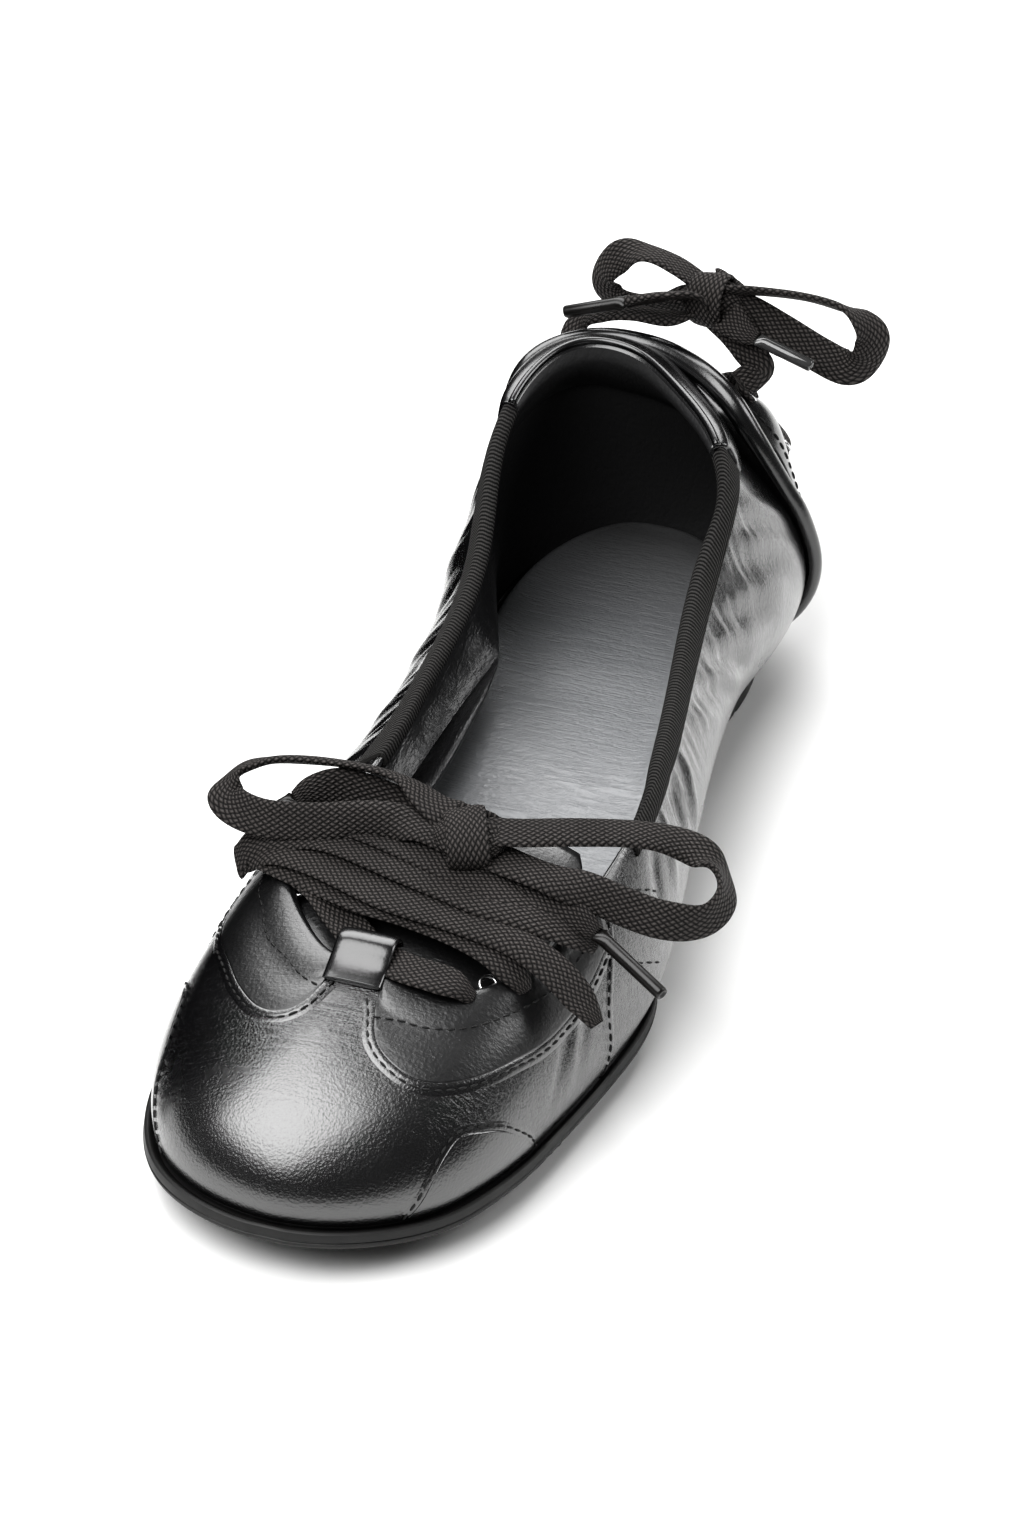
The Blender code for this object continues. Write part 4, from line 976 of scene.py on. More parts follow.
def make_upper():
    """The hollow wall: outer skin, turned edge and lining in one closed shell."""
    u = np.linspace(0, 1, AROUND, endpoint=False)[:, None]
    v = np.linspace(0, 1, OUTER_ROWS)[None, :]
    outer = off_leather(u, v, gathers(u, v))
    rim = over_edge(u[:, 0], RIM)
    back = np.linspace(1, 0, INNER_ROWS)[None, :]
    loose = relief(u, back) * LINING_SMOOTHED + fold_heights(LINING_FOLDS, u, back)
    lining = off_leather(u, back, -WALL - loose)
    sections = np.concatenate((outer, rim, lining), axis=1)
    columns = sections.shape[1]
    inside = np.tile(np.arange(columns) >= OUTER_ROWS + 1, AROUND)
    faces = grid_faces(AROUND, columns, wrap_rows=True)
    made = make_piece("upper_shell", sections, faces, [VAMP_LEATHER, LINING_LEATHER],
                      ["upper"], look_of_face=inside)
    worn = np.zeros(sections.shape[:2])
    worn[:, :OUTER_ROWS] = wear(u, v)
    stored = made.data.attributes.new("worn", "FLOAT", "POINT")
    stored.data.foreach_set("value", worn.ravel().astype(np.float32))


make_upper()

# %% [markdown]
# The sole
#
# The sole is one moulded rubber unit. A thin round lip runs along the upper with a dark groove between
# them, a ridge marks the mould's parting line, and the pods under heel and forefoot are set in, with
# ribbed sides and grooves across the tread. Stations are paired by their place along the shoe, so that
# the tread can be filled straight across.

# %% Sole
Edge = namedtuple("Edge", "share out level rise")
SOLE_EDGE = [  # share of the station's lip, millimetres out, height measured from, millimetres up
    Edge(0.00, -6.0, "top", 0.0), Edge(0.00, -1.5, "top", 0.0), Edge(0.00, 0.35, "top", -0.25),
    Edge(0.12, 0.5, "top", 0.2), Edge(0.25, 0.6, "top", 0.7), Edge(0.40, 0.6, "top", 1.0),
    Edge(0.60, 0.5, "top", 1.05), Edge(0.80, 0.35, "top", 0.75), Edge(0.92, 0.15, "top", 0.15),
    Edge(1.00, 0.0, "top", -0.6), Edge(1.00, 0.05, "top", -1.1), Edge(1.00, -0.12, "top", -1.3),
    Edge(1.00, 0.15, "top", -1.5), Edge(1.00, -0.05, "top", -1.75), Edge(1.00, 0.0, "top", -2.2),
    Edge(0.93, 0.0, "top", -2.7), Edge(0.80, 0.0, "top", -3.1), Edge(0.50, -0.3, "top", -3.35),
    Edge(0.20, -0.6, "top", -3.4), Edge(0.17, -0.8, "tread", 1.6), Edge(0.15, -1.0, "tread", 0.9),
    Edge(0.12, -1.3, "tread", 0.3), Edge(0.10, -2.0, "tread", 0.0),
]
GROOVES = (5, 9, 13, 17, 60, 64.5, 69, 73.5, 78)  # percent of LENGTH
GROOVE_WIDTH = 2.0 * MM
GROOVE_DEPTH = 1.7 * MM
GROOVE_WALLS = (-0.62, -0.48, 0.48, 0.62)  # stations beside a groove's middle, in groove widths
ALONG = 220
TREAD_ACROSS = 14
HIDDEN_ACROSS = 4  # faces across a side that nobody sees
POD_RIB = 3.1 * MM
POD_RIB_HEIGHT = 0.35 * MM
POD_RIBBED = (52.5, 85.0)  # percent of LENGTH
POD_FADE = 5.0  # percent of LENGTH over which the ribs fade at both ends
SHARP_FROM = math.radians(42)


def paired_stations():
    """Values of u on the outer and inner side at the same places along the shoe, heel to toe."""
    middles = HEEL_X + LENGTH * np.array(GROOVES)[:, None] / 100
    sides = middles + GROOVE_WIDTH * np.array(GROOVE_WALLS)[None, :]
    heel, toe = last(np.array([0.0, AT["toe"]]))[:, 0]
    spread = heel + (toe - heel) * (1 - np.cos(np.linspace(0, math.pi, ALONG))) / 2
    x = np.sort(np.concatenate((spread[1:-1], sides.ravel())))
    outer = np.linspace(0, AT["toe"], 4000)
    inner = np.linspace(1, AT["toe"], 4000)
    outer_x = np.maximum.accumulate(last(outer)[:, 0])
    inner_x = np.maximum.accumulate(last(inner)[:, 0])
    return np.interp(x, outer_x, outer), np.interp(x, inner_x, inner)


OUTER_U, INNER_U = paired_stations()
SOLE_U = np.concatenate(([0.0], OUTER_U, [AT["toe"]], INNER_U[::-1]))


def outline(out):
    """The sole line moved outwards, level."""
    return last(SOLE_U)[:, :2] + outward(SOLE_U) * np.broadcast_to(out, SOLE_U.shape)[:, None]


def groove_cut(x):
    """How deep the tread is cut at x."""
    cut = np.zeros(np.shape(x))
    for percent in GROOVES:
        away = np.abs(x - HEEL_X - LENGTH * percent / 100) / GROOVE_WIDTH
        cut = np.maximum(cut, np.clip((0.6 - away) / 0.1, 0, 1))
    return cut * GROOVE_DEPTH


def fill_across(ring, count, height):
    """Points and faces that fill a ring of paired stations straight across, at a height of x, y and t."""
    pairs = len(OUTER_U)
    outer = np.arange(1, pairs + 1)
    inner = np.arange(len(SOLE_U) - 1, pairs + 1, -1)
    t = np.linspace(0, 1, count + 1)[None, 1:-1, None]
    between = ring[outer][:, None] * (1 - t) + ring[inner][:, None] * t
    between[..., 2] = height(between[..., 0], between[..., 1], t[..., 0])
    start = len(SOLE_U)
    index = start + np.arange(pairs * (count - 1)).reshape(pairs, count - 1)
    index = np.concatenate((outer[:, None], index, inner[:, None]), axis=1)
    corners = index[:-1, :-1], index[1:, :-1], index[1:, 1:], index[:-1, 1:]
    faces = list(zip(*(corner.ravel().tolist() for corner in corners)))
    faces += [(0, int(index[0, j]), int(index[0, j + 1])) for j in range(count)]
    faces += [(pairs + 1, int(index[-1, j + 1]), int(index[-1, j])) for j in range(count)]
    return between.reshape(-1, 3), faces


def ring_stack(rings, bottom, top):
    """Points and faces of stacked rings whose first and last one are filled across by the given fills."""
    count = len(SOLE_U)
    points = [np.concatenate(rings)]
    faces = grid_faces(len(rings), count)
    total = len(rings) * count
    for ring_start, (more, filled) in (((len(rings) - 1) * count, bottom), (0, top)):
        for face in filled:
            faces.append(tuple(int(n) + (ring_start if n < count else total - count) for n in face))
        points.append(more)
        total += len(more)
    return np.concatenate(points), faces


def tread_height(x, rise=0.0):
    """The tread at x, or so much above it, with its grooves and never above the lip."""
    below_lip = height_along(SOLE_TOP, x) - LIP_DEPTH - LIP_GROOVE - rise
    return np.maximum(np.minimum(height_along(TREAD, x), below_lip) + rise, groove_cut(x))


def pod_ribs(x):
    """How far the ribs round the forefoot's pod stand out at x."""
    start, end = POD_RIBBED
    at = percent_along(x)
    share = np.clip((at - start) / POD_FADE, 0, 1) * np.clip((end - at) / POD_FADE, 0, 1)
    return POD_RIB_HEIGHT * np.sin(SOLE_U * GIRTH / POD_RIB * TAU) * share


def make_sole():
    """The rubber unit from its top face down to the tread."""
    lip = last(SOLE_U)[:, LIP_COLUMN]
    rings = []
    for edge in SOLE_EDGE:
        out = lip * edge.share + edge.out * MM
        rise = edge.rise * MM
        plan = outline(out)
        x = plan[:, 0]
        if edge.level == "tread":
            plan = outline(out + pod_ribs(x))
            level = tread_height(x, rise)
        else:
            bead = np.clip(lip / LIP_FULL, 0, 1) if rise > 0 else 1.0
            level = height_along(SOLE_TOP, x) + rise * bead
        rings.append(np.column_stack((plan, level)))
    tread_fill = fill_across(rings[-1], TREAD_ACROSS, lambda x, y, t: tread_height(x))
    top_fill = fill_across(rings[0], HIDDEN_ACROSS, lambda x, y, t: height_along(SOLE_TOP, x))
    points, faces = ring_stack(rings, tread_fill, top_fill)
    made = make_piece("rubber_sole", points, faces, [RUBBER], ["sole"])
    made.data.set_sharp_from_angle(angle=SHARP_FROM)


make_sole()

# %% [markdown]
# Insole and tongue
#
# The insole is a leather-covered sock. It cups up a little at its rim and more at the heel, and the foot
# has pressed a few shallow waves across it. The tongue is a padded leaf that spans the throat under the
# laces; its free end looks out behind the bow. Both are filled across between two edges, so their faces
# run smoothly with the foot.

# %% Insole
INSOLE_THICKNESS = 3.0 * MM
INSOLE_WAVES = [(8, 0.35, 0.20, 5.0), (19, -0.25, 0.24, 4.0), (30, 0.30, 0.18, 4.5), (-22, 0.15, 0.14, 6.0),
                (-46, -0.2, 0.12, 7.0)]  # place along, slant, height and width, millimetres
SOCK_EDGE = [  # millimetres in and up
    (1.5, 4.1), (0.8, 3.95), (0.25, 3.4), (0.0, 2.4), (0.0, 0.9), (1.5, 0.3),
]
SOCK_ACROSS = 44
SOCK_RIM = 1.1 * MM
HEEL_CUP_FRONT = -72 * MM
HEEL_CUP_BACK = -111 * MM
HEEL_CUP_RISE = 6.5 * MM


def heel_share(x):
    """0 ahead of the sock's cup at the heel, 1 at its back end."""
    return np.clip((HEEL_CUP_FRONT - x) / (HEEL_CUP_FRONT - HEEL_CUP_BACK), 0, 1)


def insole_height(x, y, t):
    """The sock's upper face: cupped at the rim and up the heel's wall, with shallow waves across it."""
    z = height_along(SOLE_TOP, x) + INSOLE_THICKNESS
    for place_x, slant, high, wide in INSOLE_WAVES:
        z = z + high * MM * np.exp(-(((x - place_x * MM - slant * y) / (wide * MM)) ** 2))
    rim = np.maximum(np.abs(2 * t - 1), heel_share(x)) ** 8
    return z + SOCK_RIM * rim + HEEL_CUP_RISE * heel_share(x) ** 3


def make_insole():
    """The sock inside the upper."""
    rings = []
    for more, rise in SOCK_EDGE:
        plan = outline(-WALL - 3 * GAP - more * MM)
        cup = HEEL_CUP_RISE * heel_share(plan[:, 0]) ** 3 if rise > 1 else 0.0
        rings.append(np.column_stack((plan, height_along(SOLE_TOP, plan[:, 0]) + rise * MM + cup)))
    upper_fill = fill_across(rings[0], SOCK_ACROSS, insole_height)
    under_fill = fill_across(rings[-1], HIDDEN_ACROSS, lambda x, y, t: height_along(SOLE_TOP, x) + GAP)
    points, faces = ring_stack(rings, under_fill, upper_fill)
    make_piece("leather_sock", points, faces, [INSOLE_LEATHER], ["insole"])


make_insole()

# %% Tongue
TONGUE_THICKNESS = 2.2 * MM
TONGUE_CROWN = 6.0 * MM
TONGUE_TUCK = 0.93  # how far under the throat's edge, as v
TONGUE_BELOW = 0.8 * MM  # its edges hang so far under the lining
TONGUE_SPAN = (0.075, 0.9)  # its ends, as shares of the way from the throat's corners to the toe
TONGUE_ROUNDED = (0.12, 0.14)  # what its free end loses at each side, and over what share of the way
TONGUE_THINNED = 0.05  # share of the way over which its end gets thin


def make_tongue():
    """The padded leaf, thinned towards its round edges."""
    steps, across = 56, 44
    w = np.linspace(*TONGUE_SPAN, steps)
    edges = []
    for corner in ("corner_outer", "corner_inner"):
        u = AT[corner] + (AT["toe"] - AT[corner]) * w
        point, normal, _ = skin_frame(u, TONGUE_TUCK)
        edges.append(point - normal * (WALL + TONGUE_BELOW))
    from_end = w - w[0]
    lost, over = TONGUE_ROUNDED
    trim = lost * np.clip(1 - from_end / over, 0, 1) ** 2
    t = trim[:, None] + (1 - 2 * trim[:, None]) * np.linspace(0, 1, across)[None, :]
    middle = edges[0][:, None] * (1 - t[..., None]) + edges[1][:, None] * t[..., None]
    middle[..., 2] += 4 * TONGUE_CROWN * (1 - w[:, None]) * t * (1 - t) - TONGUE_THICKNESS / 2
    side = np.linspace(-1, 1, across)[None, :]
    end = np.clip(from_end / TONGUE_THINNED, 0, 1)[:, None]
    round_edge = np.sqrt(np.clip(1 - side**10, 0.02, 1)) * np.sqrt(np.clip(1 - (1 - end) ** 2, 0.03, 1))
    half = np.zeros_like(middle)
    half[..., 2] = TONGUE_THICKNESS / 2 * round_edge
    return strip("padded_tongue", np.concatenate((middle + half, (middle - half)[:, ::-1]), axis=1),
                 PANEL_LEATHER, ["tongue"])


tongue = make_tongue()

# %% [markdown]
# Panels and sewn edges
#
# The vamp lies over the eyestays and over the low wings at the sides. Its edge is folded, so it stands up
# about a third of a millimetre and is sewn down just inside. A plain line in the colour would look
# painted on. So each panel is a thin sheet on the skin, and each sewn edge is a low roll swept along a
# drawn line on the skin.

# %% Lines of the panels
EYESTAY_OUTER = [
    (0.484, 0.90), (0.480, 0.81), (0.470, 0.735), (0.455, 0.67), (0.430, 0.635), (0.408, 0.60),
    (0.385, 0.545), (0.360, 0.56), (0.335, 0.66),
]
EYESTAY_INNER = [
    (0.521, 0.92), (0.526, 0.86), (0.536, 0.805), (0.552, 0.77), (0.575, 0.745), (0.602, 0.70),
    (0.637, 0.57), (0.662, 0.50), (0.685, 0.56),
]
WING_OUTER = [
    (0.458, 0.03), (0.453, 0.13), (0.446, 0.31), (0.438, 0.40), (0.427, 0.37), (0.416, 0.30), (0.404, 0.15),
    (0.398, 0.03),
]
WING_INNER = [
    (0.562, 0.03), (0.572, 0.12), (0.583, 0.22), (0.595, 0.36), (0.608, 0.41), (0.620, 0.38), (0.633, 0.24),
    (0.642, 0.03),
]
SEAM_OUTER = [(0.347, 0.02), (0.346, 0.20), (0.345, 0.36), (0.341, 0.47), (0.336, 0.58), (0.332, 0.70)]
SEAM_INNER = [(0.653, 0.02), (0.656, 0.20), (0.661, 0.36), (0.668, 0.47), (0.675, 0.58), (0.680, 0.68)]
STITCH_OUTER = [(0.482, 0.885), (0.470, 0.89), (0.459, 0.88), (0.441, 0.87), (0.425, 0.86), (0.408, 0.84),
                (0.390, 0.80), (0.372, 0.76), (0.350, 0.76)]
STITCH_INNER = [(0.527, 0.92), (0.539, 0.92), (0.565, 0.92), (0.589, 0.89), (0.619, 0.87), (0.650, 0.76),
                (0.672, 0.70)]
SHORT_SEAMS = [[(0.323, 0.43), (0.312, 0.35)], [(0.319, 0.72), (0.304, 0.58)]]
LINE_STEPS = 14
PANEL_STEPS = 12
PANEL_ACROSS = 25
PANEL_TURNED = [(0.5, 0.5), (-0.2, 1.05), (-1.0, 1.25), (-1.9, 1.0), (-2.5, 0.3)]  # millimetres out and up
PANEL_TUCKED = [(-2.2, 0.0), (-1.8, 0.2), (-1.0, 0.4), (-0.4, 0.2), (-0.3, 0.0)]


def beside(line, sideways):
    """The line moved sideways within the skin, to its right seen from outside; metres."""
    u, v = np.asarray(line).T
    h = 1e-3
    by_u = (skin(u + h, v) - skin(u - h, v)) / (2 * h)
    low, high = np.maximum(v - h, 0), np.minimum(v + h, 1)
    by_v = (skin(u, high) - skin(u, low)) / (high - low)[:, None]
    du, dv = np.gradient(u), np.gradient(v)
    along = unit(by_u * du[:, None] + by_v * dv[:, None])
    right = unit(np.cross(along, np.cross(by_v, by_u)))
    uu, vv, uv = (by_u**2).sum(1), (by_v**2).sum(1), (by_u * by_v).sum(1)
    ru, rv = (right * by_u).sum(1), (right * by_v).sum(1)
    span = uu * vv - uv**2
    return np.column_stack((u + sideways * (ru * vv - rv * uv) / span,
                            np.clip(v + sideways * (rv * uu - ru * uv) / span, 0, 1)))


def roll_along(name, line, profile, look, stands_for=()):
    """A low roll along a line on the skin; its profile is (millimetres sideways, millimetres out)."""
    rows = []
    for sideways, out in profile + [(s, -0.4) for s, _ in profile[::-1]]:
        moved = beside(line, sideways * MM)
        rows.append(off_leather(moved[:, 0], moved[:, 1], np.full(len(moved), out * MM)))
    return strip(name, np.stack(rows, axis=1), look, stands_for)


# %% Panels on the skin
def panel_to(name, edge, end, heights, wrap, look, stands_for):
    """A sheet from a drawn edge to the line v = end, with heights in millimetres across it."""
    line = smooth_line(edge, PANEL_STEPS)
    u = line[:, :1]
    t = np.linspace(0, 1, PANEL_ACROSS)[None, :]
    v = line[:, 1:] + (end - line[:, 1:]) * t
    out = np.interp(t, np.linspace(0, 1, len(heights)), heights) * MM
    over = off_leather(u, v, np.broadcast_to(out, v.shape))
    under = off_leather(u, v, np.full(v.shape, -0.5 * MM))
    sheet = [over, under[:, ::-1]]
    if wrap:
        sheet[1:1] = [over_edge(u[:, 0], PANEL_TURNED), over_edge(u[:, 0], PANEL_TUCKED)]
    return strip(name, np.concatenate(sheet, axis=1), look, stands_for)


EYESTAY_HEIGHTS = (0.25, 0.3, 0.35, 0.35, 0.32, 0.3, 0.35, 0.6, 0.8, 0.9, 0.8)
for side, edge in (("outer", EYESTAY_OUTER), ("inner", EYESTAY_INNER)):
    panel_to(f"eyestay_sheet_{side}", edge, 1.0, EYESTAY_HEIGHTS, True, PANEL_LEATHER,
             [f"eyestay_{side}"])
for side, edge in (("outer", WING_OUTER), ("inner", WING_INNER)):
    panel_to(f"wing_sheet_{side}", edge, 0.02, (0.25, 0.25), False, VAMP_LEATHER,
             [f"side_wing_{side}"])

# %% Sewn edges
FOLDED_EDGE = [  # millimetres sideways and out
    (-0.52, -0.1), (-0.5, 0.10), (-0.38, 0.22), (-0.12, 0.29), (0.35, 0.31), (0.75, 0.28), (1.0, 0.21),
    (1.25, 0.17), (1.5, 0.17), (1.8, 0.14), (2.1, 0.08), (2.4, 0.01), (2.7, -0.08), (3.0, -0.18),
]
LOW_EDGE = [(s * 0.8, h * 0.6 - 0.02) for s, h in FOLDED_EDGE]
SEWN_AT = 7  # row of the edge that the stitches follow
THREAD_OUT = 0.12  # millimetres that they stand off it
SEWN_EDGES = {
    "vamp_edge_inner": (EYESTAY_INNER[::-1] + [(0.519, 0.94)], FOLDED_EDGE),
    "vamp_edge_outer": ([(0.486, 0.93)] + EYESTAY_OUTER, FOLDED_EDGE),
    "wing_edge_outer": (WING_OUTER[::-1], LOW_EDGE),
    "wing_edge_inner": (WING_INNER, LOW_EDGE),
    "side_seam_outer": (SEAM_OUTER[::-1], LOW_EDGE),
    "side_seam_inner": (SEAM_INNER, LOW_EDGE),
}
stitch_lines = []
for name, (edge, profile) in SEWN_EDGES.items():
    line = smooth_line(edge, LINE_STEPS)
    roll_along(name, line, profile, VAMP_LEATHER)
    sideways, out = profile[SEWN_AT]
    stitch_lines.append((beside(line, sideways * MM), (out + THREAD_OUT) * MM))
for edge, out in ((STITCH_OUTER, 0.45), (STITCH_INNER, 0.45), *((seam, 0.1) for seam in SHORT_SEAMS)):
    stitch_lines.append((smooth_line(edge, LINE_STEPS), out * MM))

# %% [markdown]
# Topline: elastic tape, collar and counter
#
# Between throat and heel the topline is bound with elastic tape, folded over the edge and sewn through.
# Round the heel it is padded: a roll faced with smooth leather, a thin piping on its ridge, and below it
# a raised counter with a thick rolled edge that sweeps down to the sole. The heel lace pulls the
# counter's outer flap several millimetres off the heel. All of them are sections carried along the last,
# so they keep to the topline wherever it bends.

# %% Trims over the topline
Trim = namedtuple("Trim", "v out up pad_out pad_up", defaults=(0, 0, 0))
TAPE_SECTION = [
    Trim(0.795, 0.25), Trim(0.80, 0.70), Trim(0.83, 0.85), Trim(0.87, 0.9), Trim(0.92, 0.9),
    Trim(1.0, 0.9), Trim(1.0, 0.75, 0.7), Trim(1.0, 0.15, 1.25), Trim(1.0, -0.8, 1.45),
    Trim(1.0, -1.8, 1.35), Trim(1.0, -2.5, 0.9), Trim(1.0, -2.85, 0.2), Trim(0.92, -2.85),
    Trim(0.84, -2.8), Trim(0.82, -2.6), Trim(0.82, -1.8), Trim(0.86, -1.6), Trim(0.92, -1.5),
    Trim(1.0, -1.5), Trim(1.0, -1.4, 0.2), Trim(1.0, -1.2, 0.3), Trim(1.0, -1.0, 0.3),
    Trim(1.0, -0.8, 0.3), Trim(1.0, -0.6, 0.2), Trim(1.0, -0.5), Trim(0.92, -0.4), Trim(0.87, -0.4),
    Trim(0.83, -0.4), Trim(0.80, -0.3), Trim(0.795, -0.2),
]
COLLAR_SECTION = [
    Trim(0.80, 0.4), Trim(0.805, 1.0, 0, 2.2), Trim(0.86, 1.2, 0, 3.0), Trim(0.91, 1.3, 0, 3.4),
    Trim(0.96, 1.4, 0, 3.4), Trim(1.0, 1.4, 0.1, 3.2), Trim(1.0, 1.3, 0.55, 2.8, 0.25),
    Trim(1.0, 1.05, 0.95, 2.1, 0.5), Trim(1.0, 0.55, 1.25, 1.2, 0.7), Trim(1.0, 0.0, 1.4, 0.4, 0.9),
    Trim(1.0, -0.7, 1.45, 0, 0.95), Trim(1.0, -1.5, 1.4, 0, 0.9), Trim(1.0, -2.2, 1.0, -0.3, 0.6),
    Trim(1.0, -2.7, 0.4, -0.7, 0.2), Trim(0.96, -2.9, 0, -1.2), Trim(0.90, -2.9, 0, -1.5),
    Trim(0.82, -2.8, 0, -1.3), Trim(0.70, -2.4, 0, -0.6), Trim(0.70, -1.6), Trim(0.82, -1.5),
    Trim(0.90, -1.5), Trim(0.96, -1.5), Trim(1.0, -1.5), Trim(1.0, -1.4, 0.2), Trim(1.0, -1.3, 0.3),
    Trim(1.0, -1.1, 0.3), Trim(1.0, -0.9, 0.3), Trim(1.0, -0.7, 0.3), Trim(1.0, -0.6, 0.2),
    Trim(1.0, -0.5, 0.1), Trim(1.0, -0.4), Trim(0.96, -0.4), Trim(0.91, -0.4), Trim(0.86, -0.4),
    Trim(0.805, -0.3), Trim(0.80, -0.2),
]
COLLAR_FACING = range(12, 18)  # columns of the section that are lined
TAPE_LAP = 0.004  # how far the tape runs on at both ends, as u
TAPE_STEPS = 240
COLLAR_STEPS = 160
Pipe = namedtuple("Pipe", "out up pad_up radius")
PIPING = Pipe(-1.1, 1.5, 1.0, 0.9)


def topline(u_from, u_to, count):
    """Values of u along the topline and how much the trim is padded there."""
    u = np.linspace(u_from, u_to, count)
    return u, np.sin(np.linspace(0, math.pi, count)) ** 0.5


def upright(u, v, out, up):
    """Points of the skin moved level away from the topline, and straight up."""
    u = np.asarray(u, float)
    h = 1e-3
    run = skin(u + h, 1.0) - skin(u - h, 1.0)
    away = unit(np.stack((-run[..., 1], run[..., 0], np.zeros(u.shape)), axis=-1))
    moved = skin(u, v) + away * np.asarray(out)[..., None]
    moved[..., 2] += up
    return moved


def edge_trim(name, section, u_from, u_to, count, look, stands_for, frame_of=off_leather,
              facing=None):
    """A channel over the topline, with UVs in metres along and across it."""
    u, pad = topline(u_from, u_to, count)
    v, out, up, pad_out, pad_up = np.array(section).T[:, None, :]
    pad = pad[:, None]
    sections = frame_of(u[:, None], v, (out + pad * pad_out) * MM, (up + pad * pad_up) * MM)
    run = run_along(skin(u, np.ones(count)))
    width = run_along(sections[count // 2])
    uv = np.stack(np.broadcast_arrays(run[:, None], width[None, :]), axis=-1)
    return strip(name, sections, look, stands_for, uv, facing)


for side, start, end in (("outer", "notch_outer", "corner_outer"), ("inner", "corner_inner", "notch_inner")):
    edge_trim(f"tape_{side}", TAPE_SECTION, AT[start] - TAPE_LAP, AT[end] + TAPE_LAP, TAPE_STEPS, TAPE,
              [f"binding_{side}"])
collar = edge_trim("padded_collar", COLLAR_SECTION, AT["notch_inner"] - 1, AT["notch_outer"], COLLAR_STEPS,
                   COLLAR_LEATHER, ["heel_collar"], upright,
                   (LINING_LEATHER, COLLAR_FACING))


def tube(name, line, radius, look, sides=14):
    """A round cord of leather along a line."""
    along = unit(np.gradient(line, axis=0))
    side = unit(np.cross(along, (0.0, 0.0, 1.0)))
    up = np.cross(side, along)
    angle = np.linspace(0, TAU, sides, endpoint=False) + math.pi / sides
    ring = side[:, None] * np.cos(angle)[None, :, None] + up[:, None] * np.sin(angle)[None, :, None]
    return strip(name, line[:, None] + ring * np.reshape(radius, (-1, 1, 1)), look)


u, pad = topline(AT["notch_inner"] - 1, AT["notch_outer"], COLLAR_STEPS)
ridge = upright(u, 1.0, np.full(len(u), PIPING.out * MM), (PIPING.up + pad * PIPING.pad_up) * MM)
tube("collar_piping", ridge, PIPING.radius * MM, COLLAR_LEATHER)

# %% Heel counter
COUNTER_REACH_TOP = 0.061
COUNTER_REACH_FOOT = 0.067
COUNTER_FOOT = 0.03
COUNTER_HEAD = 0.90
COUNTER_SWELLS = 0.25  # v from which the padding swells
COUNTER_OUT = 2.2  # millimetres out of the skin at its foot
COUNTER_PADDING = 2.0  # and so much more at its head
Flap = namedtuple("Flap", "u v wide high out")
FLAP = Flap(0.044, 0.62, 0.018, 0.17, 8.0)  # the outer flap's middle and size on the last, millimetres out
COUNTER_TOP = [(0.0, 0.90), (0.025, 0.895), (0.045, 0.87), (0.055, 0.81), (0.061, 0.68)]  # u and v
COUNTER_EDGE = [  # u, v, millimetres out and radius of the roll
    (-0.067, 0.02, 1.6, 1.5), (-0.065, 0.25, 1.8, 1.6), (-0.0635, 0.50, 2.0, 1.8), (-0.0615, 0.70, 2.6, 2.1),
    (-0.056, 0.82, 3.4, 2.3), (-0.045, 0.875, 4.0, 2.4), (-0.025, 0.895, 4.4, 2.4), (0.0, 0.90, 4.6, 2.4),
    (0.025, 0.895, 5.4, 2.5), (0.045, 0.875, 6.4, 2.6), (0.056, 0.82, 6.4, 2.6), (0.0615, 0.70, 5.0, 2.4),
    (0.0635, 0.50, 3.0, 2.0), (0.065, 0.25, 1.9, 1.7), (0.067, 0.02, 1.6, 1.5),
]


def counter_height(u, v):
    """How far the counter stands out of the skin, more on the flap that the heel lace pulls away."""
    rise = np.clip((v - COUNTER_SWELLS) / (COUNTER_HEAD - COUNTER_SWELLS), 0, 1) ** 1.2
    away = ((u - FLAP.u) / FLAP.wide) ** 2 + ((v - FLAP.v) / FLAP.high) ** 2
    return (COUNTER_OUT + COUNTER_PADDING * rise + FLAP.out * np.exp(-away)) * MM


def on_counter(u, v, off):
    """Points so many millimetres off the counter, and the ways out of it."""
    point, out, _ = skin_frame(u, v)
    return point + out * (off * MM + counter_height(u, v))[:, None], out


def make_counter():
    """The raised panel round the heel, up to its roll."""
    across = np.linspace(-1, 1, 120)[:, None]
    head = np.interp(np.abs(across) * COUNTER_REACH_TOP, *zip(*COUNTER_TOP))
    v = COUNTER_FOOT + (head - COUNTER_FOOT) * np.linspace(0, 1, 44)[None, :]
    u = across * (COUNTER_REACH_TOP + (COUNTER_REACH_FOOT - COUNTER_REACH_TOP) * (1 - v) ** 1.5) * 0.98
    over = off_leather(u, v, counter_height(u, v))
    under = off_leather(u, v, np.full(u.shape, -0.4 * MM))
    strip("counter_panel", np.concatenate((over, under[:, ::-1]), axis=1), COLLAR_LEATHER,
          ["heel_counter"])


make_counter()
edge = smooth_line(COUNTER_EDGE, LINE_STEPS)
tube("counter_roll", off_leather(edge[:, 0], edge[:, 1], edge[:, 2] * MM), edge[:, 3] * MM, COLLAR_LEATHER,
     20)
sewn = beside(edge[:, :2], -4.0 * MM)
stitch_lines.append((sewn, counter_height(sewn[:, 0], sewn[:, 1]) + 0.1 * MM))

# %% [markdown]
# Heel lacing and keeper
#
# Two bars of the heel lace cross on the back of the counter and dive into its eyelets, and two strands
# come down to them from the bow. Where a strand hangs free its points are in millimetres, and where it
# lies on the counter they are places on the last. At the throat's front a short strap of leather holds
# the lowest bar of the front lacing.

